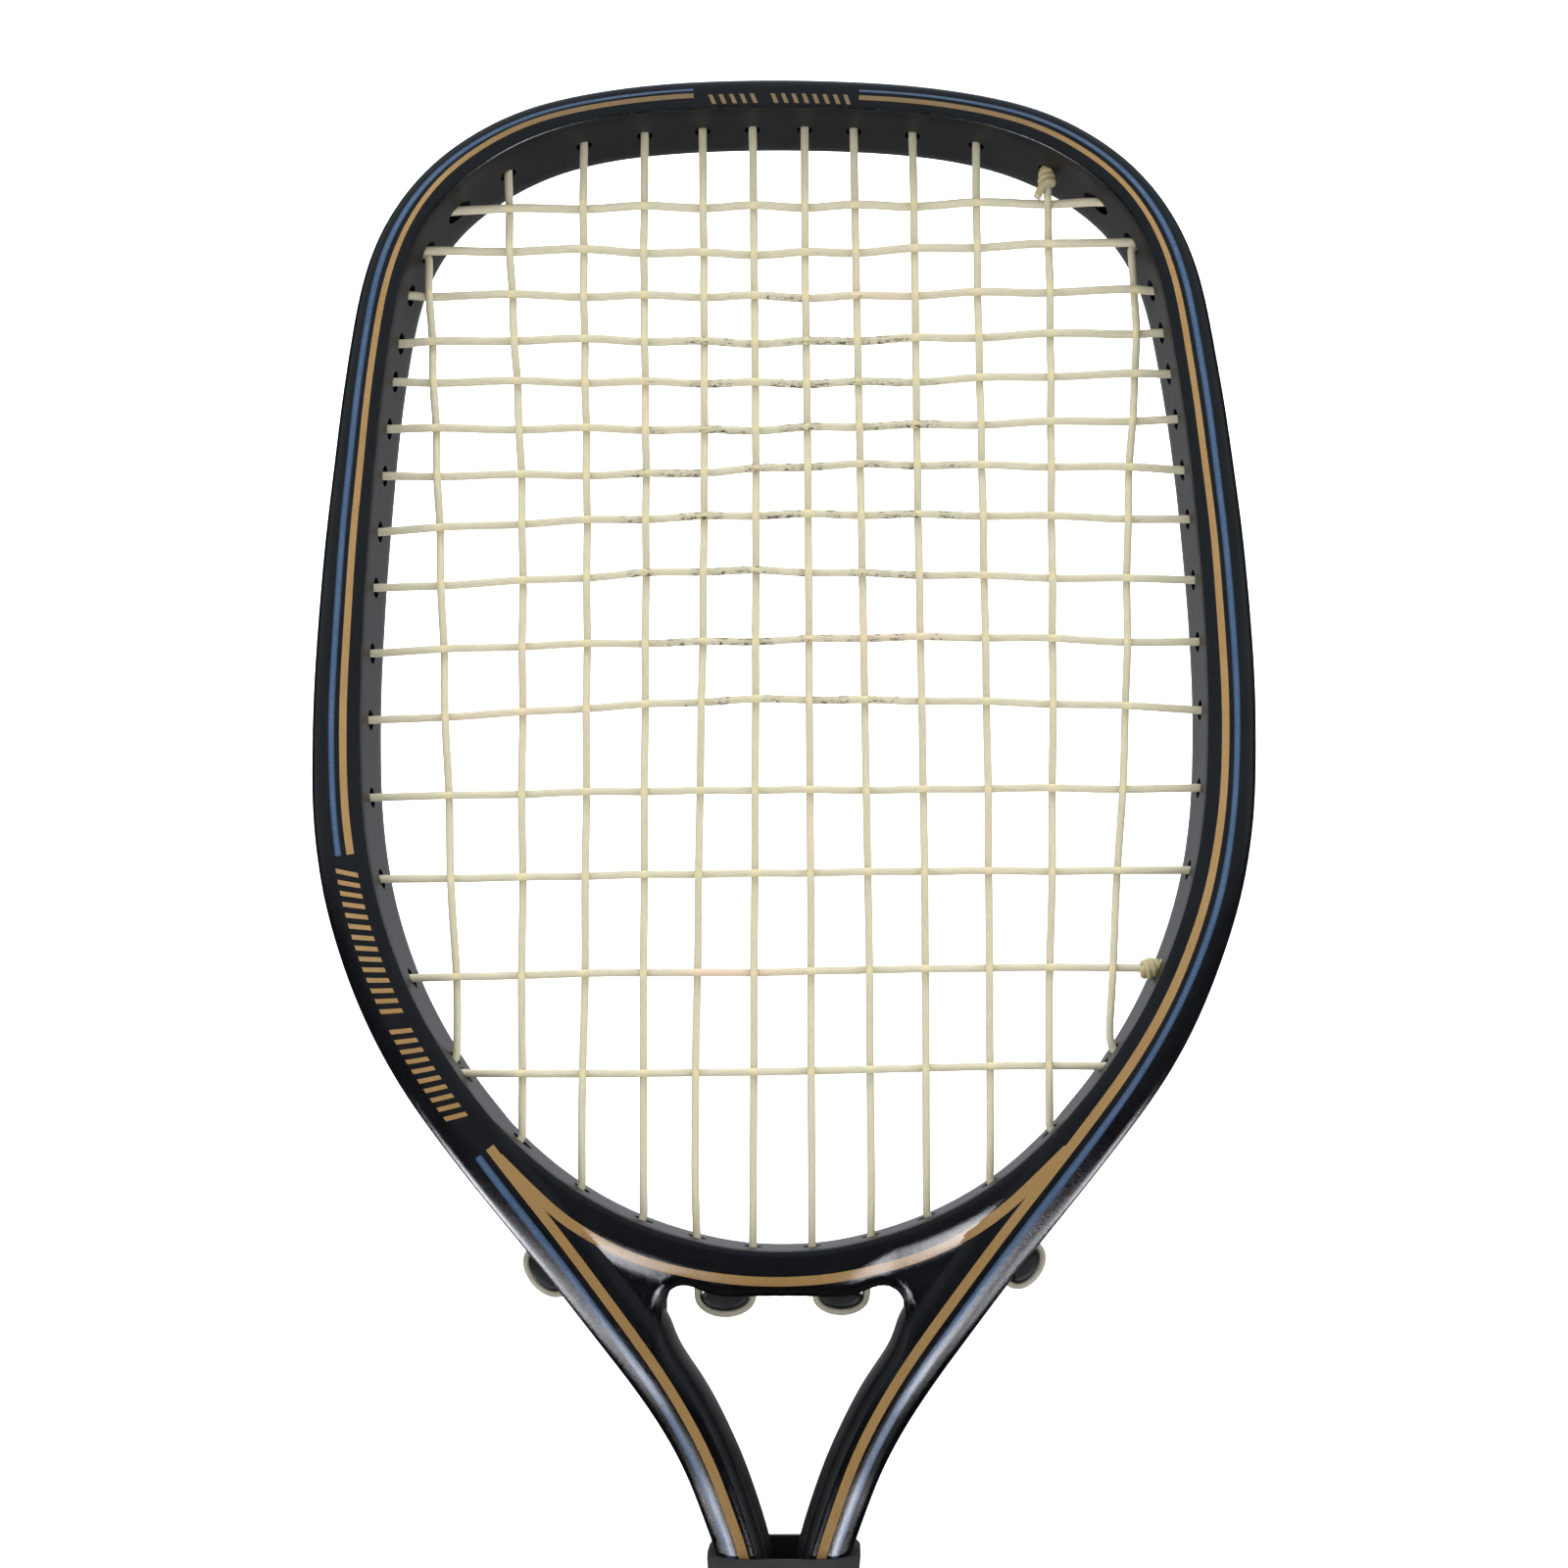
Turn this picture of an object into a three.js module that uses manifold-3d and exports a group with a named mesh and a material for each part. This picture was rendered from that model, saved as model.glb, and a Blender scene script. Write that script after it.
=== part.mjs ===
// A strung court racket, modelled standing on its butt end.
// Units are millimetres, +Z runs up the length to the tip of the head, +X is to the right and the
// playing face looks along -Y. The pieces are shaped about the racket's own axis, then moved
// together by RIM_SEAT in Y, so that the origin is a point of the flat rim the racket stands on.
//
// A one-piece hairpin frame (hoop, two shafts, two legs inside the handle) is closed by a separate
// throat bridge. One long string is woven through both, passes over grommet strips in the outer
// groove and over four half-round saddles, and is tied off at two places. The handle is built on
// the legs from a spacer, two pallets, a leather wrap, tape, a rubber collar and a butt cap. A
// wrist cord with a sliding toggle leaves the butt cap through a notch in its rim.
//
// A "point" is [x, z] in the mid plane Y = 0 unless noted; a "direction" is a unit [x, z].
import * as THREE from "three";
import { mergeVertices } from "three/addons/utils/BufferGeometryUtils.js";
import Module from "manifold-3d";

const wasm = await Module();
wasm.setup();

// ---------------------------------------------------------------- shared dimensions
const CLEAR = 0.3; // gap between neighbouring pieces
const RIM_SEAT = 13.3; // from the racket's axis to the origin, on the playing-face side of the rim

const FRAME_DEPTH = 19.5; // front face to back face of the hoop, shafts and legs
const HALF_DEPTH = FRAME_DEPTH / 2;
// Rounding of the outer edges: in-plane width, depth along Y, steps.
const EDGE_ROUND = { size: 5.0, depth: 5.4, segments: 2 };
const SQUARE_EDGE = { size: 0, depth: 0, segments: 0 };
const GROOVE_DEPTH = 2.4; // outer string groove, measured in from the outer contour
const GROOVE_WIDTH = 5.2;
const LEG_BOTTOM = 17.4; // the legs stop this far above the butt face

const STRING_R = 0.65;
const WEAVE = 0.8; // string centre in front of or behind the mid plane at a crossing

const GRIP_HALF_W = 15.6; // leather wrap, half width across the octagon in X
const GRIP_HALF_D = 13.9; // and in Y
const GRIP_TOP = 128;
const LEATHER = 1.7; // thickness of the wrap
const BUTT_HEIGHT = 25;
const TACK_Z = 19.4;

const FINISHES = {
  graphite: { color: 0x101114, roughness: 0.25 },
  foam: { color: 0xcfc7ae, roughness: 0.95 },
  string: { color: 0xcfcdb0, roughness: 0.35 },
  grommet: { color: 0x17181a, roughness: 0.5 },
  saddle: { color: 0x0e0f10, roughness: 0.4 },
  spacer: { color: 0x8a7355, roughness: 0.9 },
  pallet: { color: 0x3a3733, roughness: 0.8 },
  leather: { color: 0x1b1a19, roughness: 0.75 },
  tape: { color: 0x121212, roughness: 0.5 },
  rubber: { color: 0x0d0d0e, roughness: 0.85 },
  buttCap: { color: 0x131314, roughness: 0.45 },
  tack: { color: 0xb9bcc0, roughness: 0.3, metalness: 0.9 },
  washer: { color: 0x6f7175, roughness: 0.4, metalness: 0.6 },
  cord: { color: 0x15161a, roughness: 0.85 },
  toggle: { color: 0x222327, roughness: 0.4 },
};

// ---------------------------------------------------------------- measured tables
// Right half of the outer contour of the hairpin, tip to butt: [x, z].
const OUTER_HALF = [
  [0, 470], [12, 469.8], [24, 469.2], [36, 467.9], [47, 466.0], [56.5, 463.6],
  [65, 460.2], [72, 456.2], [78, 451.7], [83, 446.6], [87.3, 440.9], [90.9, 434.6],
  [94.0, 427.0], [96.4, 418.0], [98.2, 408.4], [99.7, 399.6], [101.0, 390.7], [102.1, 381.8],
  [103.2, 372.9], [104.2, 364.0], [105.0, 355.1], [105.7, 346.3], [106.3, 337.4], [106.7, 328.5],
  [106.8, 319.6], [106.7, 310.7], [106.2, 301.8], [105.1, 292.9], [103.5, 284.1], [101.1, 275.2],
  [98.1, 266.3], [94.5, 257.4], [90.1, 248.5], [84.7, 239.6], [78.3, 230.8], [71.4, 221.9],
  [64.2, 213.0], [56.9, 204.1], [49.8, 195.2], [43.0, 186.3], [36.3, 177.4], [30.2, 168.6],
  [24.9, 159.7], [20.8, 151.0], [17.9, 143.2], [15.3, 136.0], [13.9, 129.5], [13.6, 123.0],
  [13.6, 112.0], [13.6, 60.0], [13.6, -12.0],
];
// Right half of the head opening, top to bottom: [x, z].
const INNER_HALF = [
  [0, 460.7], [11, 460.6], [22, 460.2], [33, 459.2], [43.5, 457.4], [53.5, 454.4],
  [62.3, 450.4], [69.5, 445.8], [75.2, 440.8], [79.9, 434.8], [83.4, 427.6], [85.6, 420.0],
  [87.2, 412.0], [88.6, 404.0], [89.9, 395.5], [91.0, 386.3], [92.0, 377.1], [92.8, 367.9],
  [93.6, 358.7], [94.2, 349.6], [94.7, 340.4], [95.0, 331.2], [95.0, 322.0], [94.8, 312.8],
  [94.2, 303.7], [93.0, 294.5], [91.1, 285.3], [88.4, 276.1], [84.9, 267.0], [80.4, 257.8],
  [74.8, 248.6], [68.2, 239.4], [59.8, 230.2], [49.0, 221.1], [40.5, 215.8], [31.5, 211.6],
  [21.5, 208.3], [11, 206.0], [0, 205.3],
];
// Right half of the throat opening, top to bottom; it narrows to the slit between the legs: [x, z].
const THROAT_HALF = [
  [0, 195.0], [9, 194.8], [17, 194.3], [22, 193.9], [24.8, 193.1], [26.4, 191.4],
  [27.0, 188.9], [26.1, 184.3], [19.9, 175.2], [14.9, 166.0], [10.7, 156.8], [7.4, 147.8],
  [5.0, 140.0], [3.3, 132.0], [2.2, 124.0], [1.7, 114.0], [1.6, 60.0], [1.6, -12.0],
];
// Long strings, left to right, at the inner wall: [top point, bottom point].
const MAINS = [
  [[-81.8, 432.6], [-75.0, 248.5]], [[-63.1, 450.3], [-59.9, 230.6]],
  [[-45.8, 457.7], [-46.3, 219.4]], [[-31.9, 460.1], [-32.2, 211.6]],
  [[-18.7, 461.5], [-20.1, 208.2]], [[-7.3, 461.5], [-7.2, 206.4]],
  [[4.6, 461.5], [6.3, 206.4]], [[15.8, 461.5], [19.8, 208.2]],
  [[29.3, 459.9], [32.5, 212.1]], [[43.8, 457.0], [46.6, 220.0]],
  [[60.0, 449.2], [60.6, 231.0]], [[79.6, 434.6], [74.1, 248.5]],
];
// Cross strings, top to bottom, at the inner wall: [left point, right point].
const CROSSES = [
  [[-74.7, 442.0], [72.7, 444.0]], [[-81.7, 432.8], [79.5, 434.8]],
  [[-85.3, 422.9], [84.6, 424.1]], [[-87.5, 412.0], [86.4, 414.4]],
  [[-89.1, 403.2], [87.8, 405.0]], [[-90.4, 392.4], [89.1, 394.7]],
  [[-91.6, 381.7], [90.7, 383.0]], [[-92.2, 368.9], [91.8, 371.8]],
  [[-93.3, 356.1], [93.6, 357.9]], [[-94.0, 341.1], [94.5, 343.8]],
  [[-94.7, 325.9], [95.4, 328.1]], [[-94.7, 308.2], [94.9, 310.4]],
  [[-92.0, 289.6], [92.2, 291.6]], [[-84.4, 266.9], [84.0, 269.2]],
  [[-72.3, 245.2], [73.9, 246.8]],
];
const LAST_MAIN = MAINS.length - 1;
const LAST_CROSS = CROSSES.length - 1;
// Points the two outermost long strings on each side aim for below the inner wall, by main.
const LOWER_EXITS = {
  0: [-86.6, 242.6], 1: [-75.8, 227.8], 10: [75.8, 227.8], 11: [86.6, 242.6],
};
// Points where four long strings leave through the shafts' outer edges, by main.
const SHOULDER_EXITS = {
  2: [-57.6, 205.0], 3: [-50.0, 195.5], 8: [50.0, 195.5], 9: [57.6, 205.0],
};
const BRIDGE_EXIT_Z = 194.6; // the middle four long strings leave the bridge at this height

// ---------------------------------------------------------------- plane geometry
// Completes a right half outline with its mirror image; points on the axis are not repeated.
const mirrored = (half) => [
  ...half,
  ...half.slice().reverse().filter(([x]) => x !== 0).map(([x, z]) => [-x, z]),
];

const along = (point, direction, distance) => [
  point[0] + direction[0] * distance,
  point[1] + direction[1] * distance,
];
const opposite = (direction) => [-direction[0], -direction[1]];
const midpoint = (a, b) => [(a[0] + b[0]) / 2, (a[1] + b[1]) / 2];
const distanceBetween = (a, b) => Math.hypot(b[0] - a[0], b[1] - a[1]);
function toward(from, to) {
  const length = distanceBetween(from, to);
  return [(to[0] - from[0]) / length, (to[1] - from[1]) / length];
}
const inSpace = (point, y = 0) => new THREE.Vector3(point[0], y, point[1]);

// Offsets a closed outline along its own normals; a positive distance moves it outwards.
function offset(outline, distance) {
  const count = outline.length;
  let doubleArea = 0;
  outline.forEach(([x, z], i) => {
    const [nextX, nextZ] = outline[(i + 1) % count];
    doubleArea += x * nextZ - nextX * z;
  });
  const side = doubleArea > 0 ? 1 : -1;
  return outline.map((point, i) => {
    const before = toward(outline[(i + count - 1) % count], point);
    const after = toward(point, outline[(i + 1) % count]);
    const normalBefore = new THREE.Vector2(before[1], -before[0]);
    const normalAfter = new THREE.Vector2(after[1], -after[0]);
    const miter = normalBefore.clone().add(normalAfter).normalize();
    const reach = distance / Math.max(0.5, miter.dot(normalBefore)); // limits sharp corners
    return along(point, [miter.x, miter.y], side * reach);
  });
}

// Where a ray first crosses a closed outline, as a point and as a fractional index of the outline.
function firstCrossing(outline, start, direction) {
  let nearest = null;
  for (let i = 0; i < outline.length; i++) {
    const a = outline[i];
    const b = outline[(i + 1) % outline.length];
    const edge = [b[0] - a[0], b[1] - a[1]];
    const determinant = direction[0] * edge[1] - direction[1] * edge[0];
    if (Math.abs(determinant) < 1e-9) continue;
    const gap = [a[0] - start[0], a[1] - start[1]];
    const distance = (gap[0] * edge[1] - gap[1] * edge[0]) / determinant;
    const share = (gap[0] * direction[1] - gap[1] * direction[0]) / determinant;
    if (distance > 0.01 && share >= 0 && share <= 1 && (!nearest || distance < nearest.distance)) {
      nearest = { distance, index: i + share, point: along(start, direction, distance) };
    }
  }
  return nearest;
}

// Corners [x, y] of an eight-sided outline; corner sets how much of each side the chamfers take.
function octagon(halfX, halfY, corner = 0.33) {
  const cutX = halfX * corner * 1.15;
  const cutY = halfY * corner * 1.15;
  return [
    [halfX, -halfY + cutY], [halfX, halfY - cutY], [halfX - cutX, halfY], [-halfX + cutX, halfY],
    [-halfX, halfY - cutY], [-halfX, -halfY + cutY], [-halfX + cutX, -halfY],
    [halfX - cutX, -halfY],
  ];
}

// ---------------------------------------------------------------- solids and meshes
// A closed mesh as a solid, for joining and cutting.
function solid(geometry) {
  const loose = geometry.index ? geometry.toNonIndexed() : geometry;
  const bare = new THREE.BufferGeometry().setAttribute("position", loose.getAttribute("position"));
  const merged = mergeVertices(bare, 1e-4);
  return new wasm.Manifold(
    new wasm.Mesh({
      numProp: 3,
      vertProperties: new Float32Array(merged.attributes.position.array),
      triVerts: new Uint32Array(merged.index.array),
    }),
  );
}

function geometryOf(shape) {
  const mesh = shape.getMesh();
  const positions = new Float32Array(mesh.vertProperties);
  return new THREE.BufferGeometry()
    .setAttribute("position", new THREE.BufferAttribute(positions, 3))
    .setIndex(new THREE.BufferAttribute(new Uint32Array(mesh.triVerts), 1));
}

const largest = (shape) => shape.decompose().sort((a, b) => b.volume() - a.volume())[0];
const union = (shapes) => shapes.reduce((joined, shape) => joined.add(shape));
const shapeOf = (corners) => new THREE.Shape(corners.map(([x, y]) => new THREE.Vector2(x, y)));

// An upright plate: a closed [x, z] outline given thickness from y0 to y1.
function plate(outline, y0, y1, edge = SQUARE_EDGE) {
  const geometry = new THREE.ExtrudeGeometry(shapeOf(outline), {
    depth: y1 - y0 - 2 * edge.depth,
    bevelEnabled: edge.size > 0,
    bevelSize: edge.size,
    bevelThickness: edge.depth,
    bevelOffset: -edge.size,
    bevelSegments: edge.segments,
    curveSegments: 1,
    steps: 1,
  });
  geometry.translate(0, 0, edge.depth);
  geometry.rotateX(Math.PI / 2);
  geometry.translate(0, y1, 0);
  return geometry;
}
// A plate centred on the mid plane, as a solid.
const midPlate = (outline, halfDepth, edge) => solid(plate(outline, -halfDepth, halfDepth, edge));

// A horizontal plate: a closed [x, y] outline given height from z0 to z1.
function slab(outline, z0, z1) {
  const options = { depth: z1 - z0, bevelEnabled: false, curveSegments: 1, steps: 1 };
  return new THREE.ExtrudeGeometry(shapeOf(outline), options).translate(0, 0, z0);
}

// A solid whose eight-sided outline changes with height: rows of [z, halfX, halfY], bottom to top.
function loft(rows) {
  const sides = 8;
  const positions = rows.flatMap(([z, halfX, halfY]) =>
    octagon(halfX, halfY).flatMap(([x, y]) => [x, y, z]),
  );
  const index = [];
  for (let row = 0; row + 1 < rows.length; row++) {
    for (let i = 0; i < sides; i++) {
      const a = row * sides + i;
      const b = row * sides + ((i + 1) % sides);
      index.push(a, b, b + sides, a, b + sides, a + sides);
    }
  }
  const top = (rows.length - 1) * sides;
  for (let i = 1; i + 1 < sides; i++) {
    index.push(0, i + 1, i);
    index.push(top, top + i, top + i + 1);
  }
  const geometry = new THREE.BufferGeometry()
    .setAttribute("position", new THREE.Float32BufferAttribute(positions, 3))
    .setIndex(index);
  return solid(geometry);
}

function box(sizes, centre) {
  return solid(new THREE.BoxGeometry(...sizes).translate(...centre));
}

function uprightCylinder(radius, height, sides, z) {
  const geometry = new THREE.CylinderGeometry(radius, radius, height, sides);
  return solid(geometry.rotateX(Math.PI / 2).translate(0, 0, z));
}

// A prism between two points of the mid plane, used for string holes and barrels.
function rod(start, end, radius, sides) {
  const from = inSpace(start);
  const to = inSpace(end);
  const axis = to.clone().sub(from).normalize();
  const turn = new THREE.Quaternion().setFromUnitVectors(new THREE.Vector3(0, 1, 0), axis);
  const centre = from.clone().add(to).multiplyScalar(0.5);
  const geometry = new THREE.CylinderGeometry(radius, radius, from.distanceTo(to), sides, 1);
  geometry.applyQuaternion(turn);
  return solid(geometry.translate(centre.x, centre.y, centre.z));
}

// A path through every listed point, with the bend shared at each corner.
// It is only for extrusion with one step per segment.
class PointPath extends THREE.Curve {
  constructor(points) {
    super();
    this.points = points;
  }
  getSpacedPoints() {
    return this.points;
  }
  getTangentAt(share, target = new THREE.Vector3()) {
    const last = this.points.length - 1;
    const i = Math.round(share * last);
    const here = this.points[i];
    target.set(0, 0, 0);
    if (i > 0) target.add(here.clone().sub(this.points[i - 1]).normalize());
    if (i < last) target.add(this.points[i + 1].clone().sub(here).normalize());
    return target.normalize();
  }
}

// A round section of the given number of sides carried along a list of Vector3.
function sweep(points, radius, sides) {
  const clean = points.filter((point, i) => i === 0 || point.distanceTo(points[i - 1]) > 0.05);
  const section = Array.from({ length: sides }, (_, i) => {
    const angle = ((i + 0.5) / sides) * Math.PI * 2;
    return [radius * Math.cos(angle), radius * Math.sin(angle)];
  });
  return new THREE.ExtrudeGeometry(shapeOf(section), {
    steps: clean.length - 1,
    extrudePath: new PointPath(clean),
    bevelEnabled: false,
    curveSegments: 1,
  });
}

// ---------------------------------------------------------------- contours
const outer = mirrored(OUTER_HALF);
const inner = mirrored(INNER_HALF);
const throat = mirrored(THROAT_HALF);
const stringLine = offset(outer, -GROOVE_DEPTH + 1.75); // centre of the string over the rail
const railOuter = offset(outer, -GROOVE_DEPTH + 0.85);
const railInner = offset(outer, -GROOVE_DEPTH + 0.05);

// The right half of the outer contour moved inwards, tip to butt.
const insetRightHalf = (distance) =>
  offset([...OUTER_HALF, [0, -12]], -distance).slice(0, OUTER_HALF.length);

// Puts part of a tip-first outline in order from its left lower end over the tip to the right.
// The tip itself may lie a rounding error off X = 0 and belongs to the right part.
const leftFirst = (points) => [
  ...points.filter(([x]) => x < -1),
  ...points.filter(([x]) => x >= -1),
];
// Closes the band between the kept points of two outlines.
const band = (outside, inside) => [...leftFirst(outside), ...leftFirst(inside).reverse()];

// ---------------------------------------------------------------- string outlets
// An outlet is a place where the string passes from the inner wall out through the frame.
const DRILL_INSIDE = 4; // a string hole starts this far before the wall point
const DRILL_PAST_GROOVE = 4;
const DRILL_PAST_SADDLE = 5;

function stripAt(point) {
  if (point[1] > 438) return "top";
  return point[0] < 0 ? "left" : "right";
}
function grooveOutlet(wall, direction) {
  const mouth = firstCrossing(stringLine, wall, direction);
  const drillEnd = along(mouth.point, direction, DRILL_PAST_GROOVE);
  return { wall, direction, mouth, drillEnd, strip: stripAt(mouth.point) };
}
function saddleOutlet(wall, direction, exit) {
  return { wall, direction, exit, drillEnd: along(exit, direction, DRILL_PAST_SADDLE) };
}

// The outer two long strings share the corner holes of the second cross string.
function mainTopDirection(main, up) {
  const [left, right] = CROSSES[1];
  if (main === 0) return toward(right, left);
  return main === LAST_MAIN ? toward(left, right) : up;
}
function mainBottomOutlet(main, bottom, up) {
  if (main in LOWER_EXITS) return grooveOutlet(bottom, toward(bottom, LOWER_EXITS[main]));
  if (main in SHOULDER_EXITS) {
    const exit = SHOULDER_EXITS[main];
    return saddleOutlet(bottom, toward(bottom, exit), exit);
  }
  const down = opposite(up);
  return saddleOutlet(bottom, down, along(bottom, down, (bottom[1] - BRIDGE_EXIT_Z) / up[1]));
}

const mains = MAINS.map(([top, bottom], i) => {
  const up = toward(bottom, top);
  return {
    up,
    top: grooveOutlet(top, mainTopDirection(i, up)),
    topY: i === 0 || i === LAST_MAIN ? WEAVE : 0,
    bottom: mainBottomOutlet(i, bottom, up),
  };
});
const crosses = CROSSES.map(([left, right], i) => {
  const rightwards = toward(left, right);
  return {
    left: grooveOutlet(left, opposite(rightwards)),
    right: grooveOutlet(right, rightwards),
    y: i < 2 ? -WEAVE : 0,
  };
});

// Tie-off holes: near the top right beside main 11, and on the right below cross 14.
function tieOutlet(from, wall) {
  return grooveOutlet(wall, toward(from, wall));
}
const tieTop = tieOutlet([60.5, 440], [64.6, 448.6]);
const tieSide = tieOutlet([76, 262.2], [82.2, 262.4]);
const ties = [tieTop, tieSide];

// One entry for each hole drilled in the frame.
const outlets = [
  ...mains.flatMap(({ top, bottom }, i) =>
    i === 0 || i === LAST_MAIN ? [bottom] : [top, bottom],
  ),
  ...crosses.flatMap(({ left, right }) => [right, left]),
  ...ties,
];

// ---------------------------------------------------------------- saddle places
const SADDLE_RISE = 4.3; // height of the string's arch over a saddle
const HEAD_CENTRE = [0, 300]; // saddles bulge away from this point

// Each saddle spans the lower exits of a pair of long strings; sink moves it along its bulge.
const saddles = [
  { name: "saddle_shoulder_left", pair: [2, 3], sink: 0.35 },
  { name: "saddle_bridge_left", pair: [4, 5], sink: 0.1 },
  { name: "saddle_bridge_right", pair: [6, 7], sink: 0.1 },
  { name: "saddle_shoulder_right", pair: [8, 9], sink: 0.35 },
].map((saddle) => {
  const ends = saddle.pair.map((main) => mains[main].bottom.exit);
  const across = toward(...ends);
  const middle = midpoint(...ends);
  const normal = [across[1], -across[0]];
  const outwardness =
    (middle[0] - HEAD_CENTRE[0]) * normal[0] + (middle[1] - HEAD_CENTRE[1]) * normal[1];
  const out = outwardness < 0 ? opposite(normal) : normal;
  return { ...saddle, ends, across, middle, out };
});

// ---------------------------------------------------------------- the string's course
const TURN_IN = 1.1; // the string bends into the groove this far before the mouth
const CORNER_SHARE = 0.12; // and joins it this share of an outline step past the mouth
const KNOT = { radius: 1.62, turns: 2.5, pitch: 1.75, pointsPerTurn: 6 };

// Where a main and a cross meet in the plane, or null when they do not.
function crossingPoint(main, cross) {
  const [a, b] = MAINS[main];
  const [c, d] = CROSSES[cross];
  const mainSpan = [b[0] - a[0], b[1] - a[1]];
  const crossSpan = [d[0] - c[0], d[1] - c[1]];
  const gap = [c[0] - a[0], c[1] - a[1]];
  const determinant = mainSpan[0] * crossSpan[1] - mainSpan[1] * crossSpan[0];
  const mainShare = (gap[0] * crossSpan[1] - gap[1] * crossSpan[0]) / determinant;
  const crossShare = (gap[0] * mainSpan[1] - gap[1] * mainSpan[0]) / determinant;
  const within = (share) => share > 0.01 && share < 0.99;
  return within(mainShare) && within(crossShare) ? along(a, mainSpan, mainShare) : null;
}

// A main passes in front (-Y) where main + cross is even, and the cross passes behind it there.
// The side is 1 for the main and -1 for the cross; strings that do not meet give no point.
function weavePoints(main, cross, side) {
  const point = crossingPoint(main, cross);
  const mainY = (main + cross) % 2 === 0 ? -WEAVE : WEAVE;
  return point ? [inSpace(point, side * mainY)] : [];
}
// Top to bottom.
const mainRun = (main) => [
  inSpace(mains[main].top.wall, mains[main].topY),
  ...CROSSES.flatMap((_, cross) => weavePoints(main, cross, 1)),
  inSpace(mains[main].bottom.wall),
];
// Left to right.
const crossRun = (cross) => [
  inSpace(crosses[cross].left.wall, crosses[cross].y),
  ...MAINS.flatMap((_, main) => weavePoints(main, cross, -1)),
  inSpace(crosses[cross].right.wall, crosses[cross].y),
];

// The point of the string line at a fractional index, which may run past either end.
function stringLinePoint(index) {
  const count = stringLine.length;
  const wrapped = ((index % count) + count) % count;
  const i = Math.floor(wrapped);
  const share = wrapped - i;
  const a = stringLine[i];
  const b = stringLine[(i + 1) % count];
  return [a[0] + (b[0] - a[0]) * share, a[1] + (b[1] - a[1]) * share];
}

// The string inside the outer groove, the short way round from one mouth to another.
function grooveRun(from, to, y = 0) {
  const count = stringLine.length;
  let change = to.mouth.index - from.mouth.index;
  if (change > count / 2) change -= count;
  if (change < -count / 2) change += count;
  const steps = Math.max(1, Math.ceil(Math.abs(change)));
  const corner = Math.sign(change) * CORNER_SHARE;
  const indices = [from.mouth.index + corner];
  for (let i = 1; i < steps; i++) indices.push(from.mouth.index + (change * i) / steps);
  indices.push(to.mouth.index - corner);
  return indices.map((index) => inSpace(stringLinePoint(index), y));
}

const turnPoint = (outlet, y = 0) =>
  inSpace(along(outlet.mouth.point, outlet.direction, -TURN_IN), y);

// Comes out of one outlet, runs along the groove and turns back in at the other.
const overRail = (from, to, y = 0) => [
  turnPoint(from, y),
  ...grooveRun(from, to, y),
  turnPoint(to, y),
];

// Half-round course over a saddle, from the second string of its pair to the first.
function overSaddle({ ends: [to, from], middle, out }) {
  const steps = 8;
  const half = [(to[0] - from[0]) / 2, (to[1] - from[1]) / 2];
  return Array.from({ length: steps + 1 }, (_, i) => {
    const angle = Math.PI * (i / steps);
    const onChord = along(middle, half, -Math.cos(angle));
    return inSpace(along(onChord, out, SADDLE_RISE * Math.sin(angle)));
  });
}

// A knot: turns of the string about an axis through start along direction.
function coil(start, direction, startAngle) {
  const { radius, turns, pitch, pointsPerTurn } = KNOT;
  const axis = inSpace(direction).normalize();
  const depthwise = new THREE.Vector3(0, 1, 0);
  const sideways = axis.clone().cross(depthwise).normalize();
  return Array.from({ length: Math.round(turns * pointsPerTurn) + 1 }, (_, i) => {
    const turn = i / pointsPerTurn;
    const angle = startAngle + turn * Math.PI * 2;
    return inSpace(start)
      .addScaledVector(axis, turn * pitch)
      .addScaledVector(depthwise, radius * Math.cos(angle))
      .addScaledVector(sideways, radius * Math.sin(angle));
  });
}

// The short end is knotted round main 11 and goes out beside it and back in at main 12's hole.
function startCourse() {
  const knotted = mains[LAST_MAIN - 1];
  const last = mains[LAST_MAIN];
  return [
    ...coil(along(knotted.top.wall, knotted.up, -9.6), knotted.up, Math.PI * 0.5),
    inSpace([64.0, 447.4]),
    turnPoint(tieTop),
    ...grooveRun(tieTop, last.top, WEAVE),
    turnPoint(last.top, WEAVE),
  ];
}

// The mains, right to left; odd ones run down and even ones run up.
function mainsCourse() {
  const points = [];
  for (let main = LAST_MAIN; main >= 0; main--) {
    const downwards = main % 2 === 1;
    const run = mainRun(main);
    points.push(...(downwards ? run : run.reverse()));
    if (downwards) {
      const saddle = saddles.find(({ pair }) => pair.includes(main));
      const link = saddle
        ? overSaddle(saddle)
        : overRail(mains[main].bottom, mains[main - 1].bottom);
      points.push(...link);
    } else if (main > 0) {
      points.push(...overRail(mains[main].top, mains[main - 1].top));
    }
  }
  return points;
}

// The crosses, top to bottom; even ones run to the right and odd ones to the left.
function crossesCourse() {
  const points = [];
  for (let cross = 0; cross <= LAST_CROSS; cross++) {
    const rightwards = cross % 2 === 0;
    const run = crossRun(cross);
    points.push(...(rightwards ? run : run.reverse()));
    if (cross < LAST_CROSS) {
      const side = rightwards ? "right" : "left";
      points.push(...overRail(crosses[cross][side], crosses[cross + 1][side], crosses[cross].y));
    }
  }
  return points;
}

// The long end comes back in below cross 14 and is knotted round it.
function endCourse() {
  const knotted = crosses[LAST_CROSS - 1];
  const leftwards = knotted.left.direction;
  return [
    ...overRail(crosses[LAST_CROSS].right, tieSide),
    inSpace([81.4, 262.6]),
    ...coil(along(knotted.right.wall, leftwards, 2.6), leftwards, Math.PI * 1.5),
  ];
}

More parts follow.
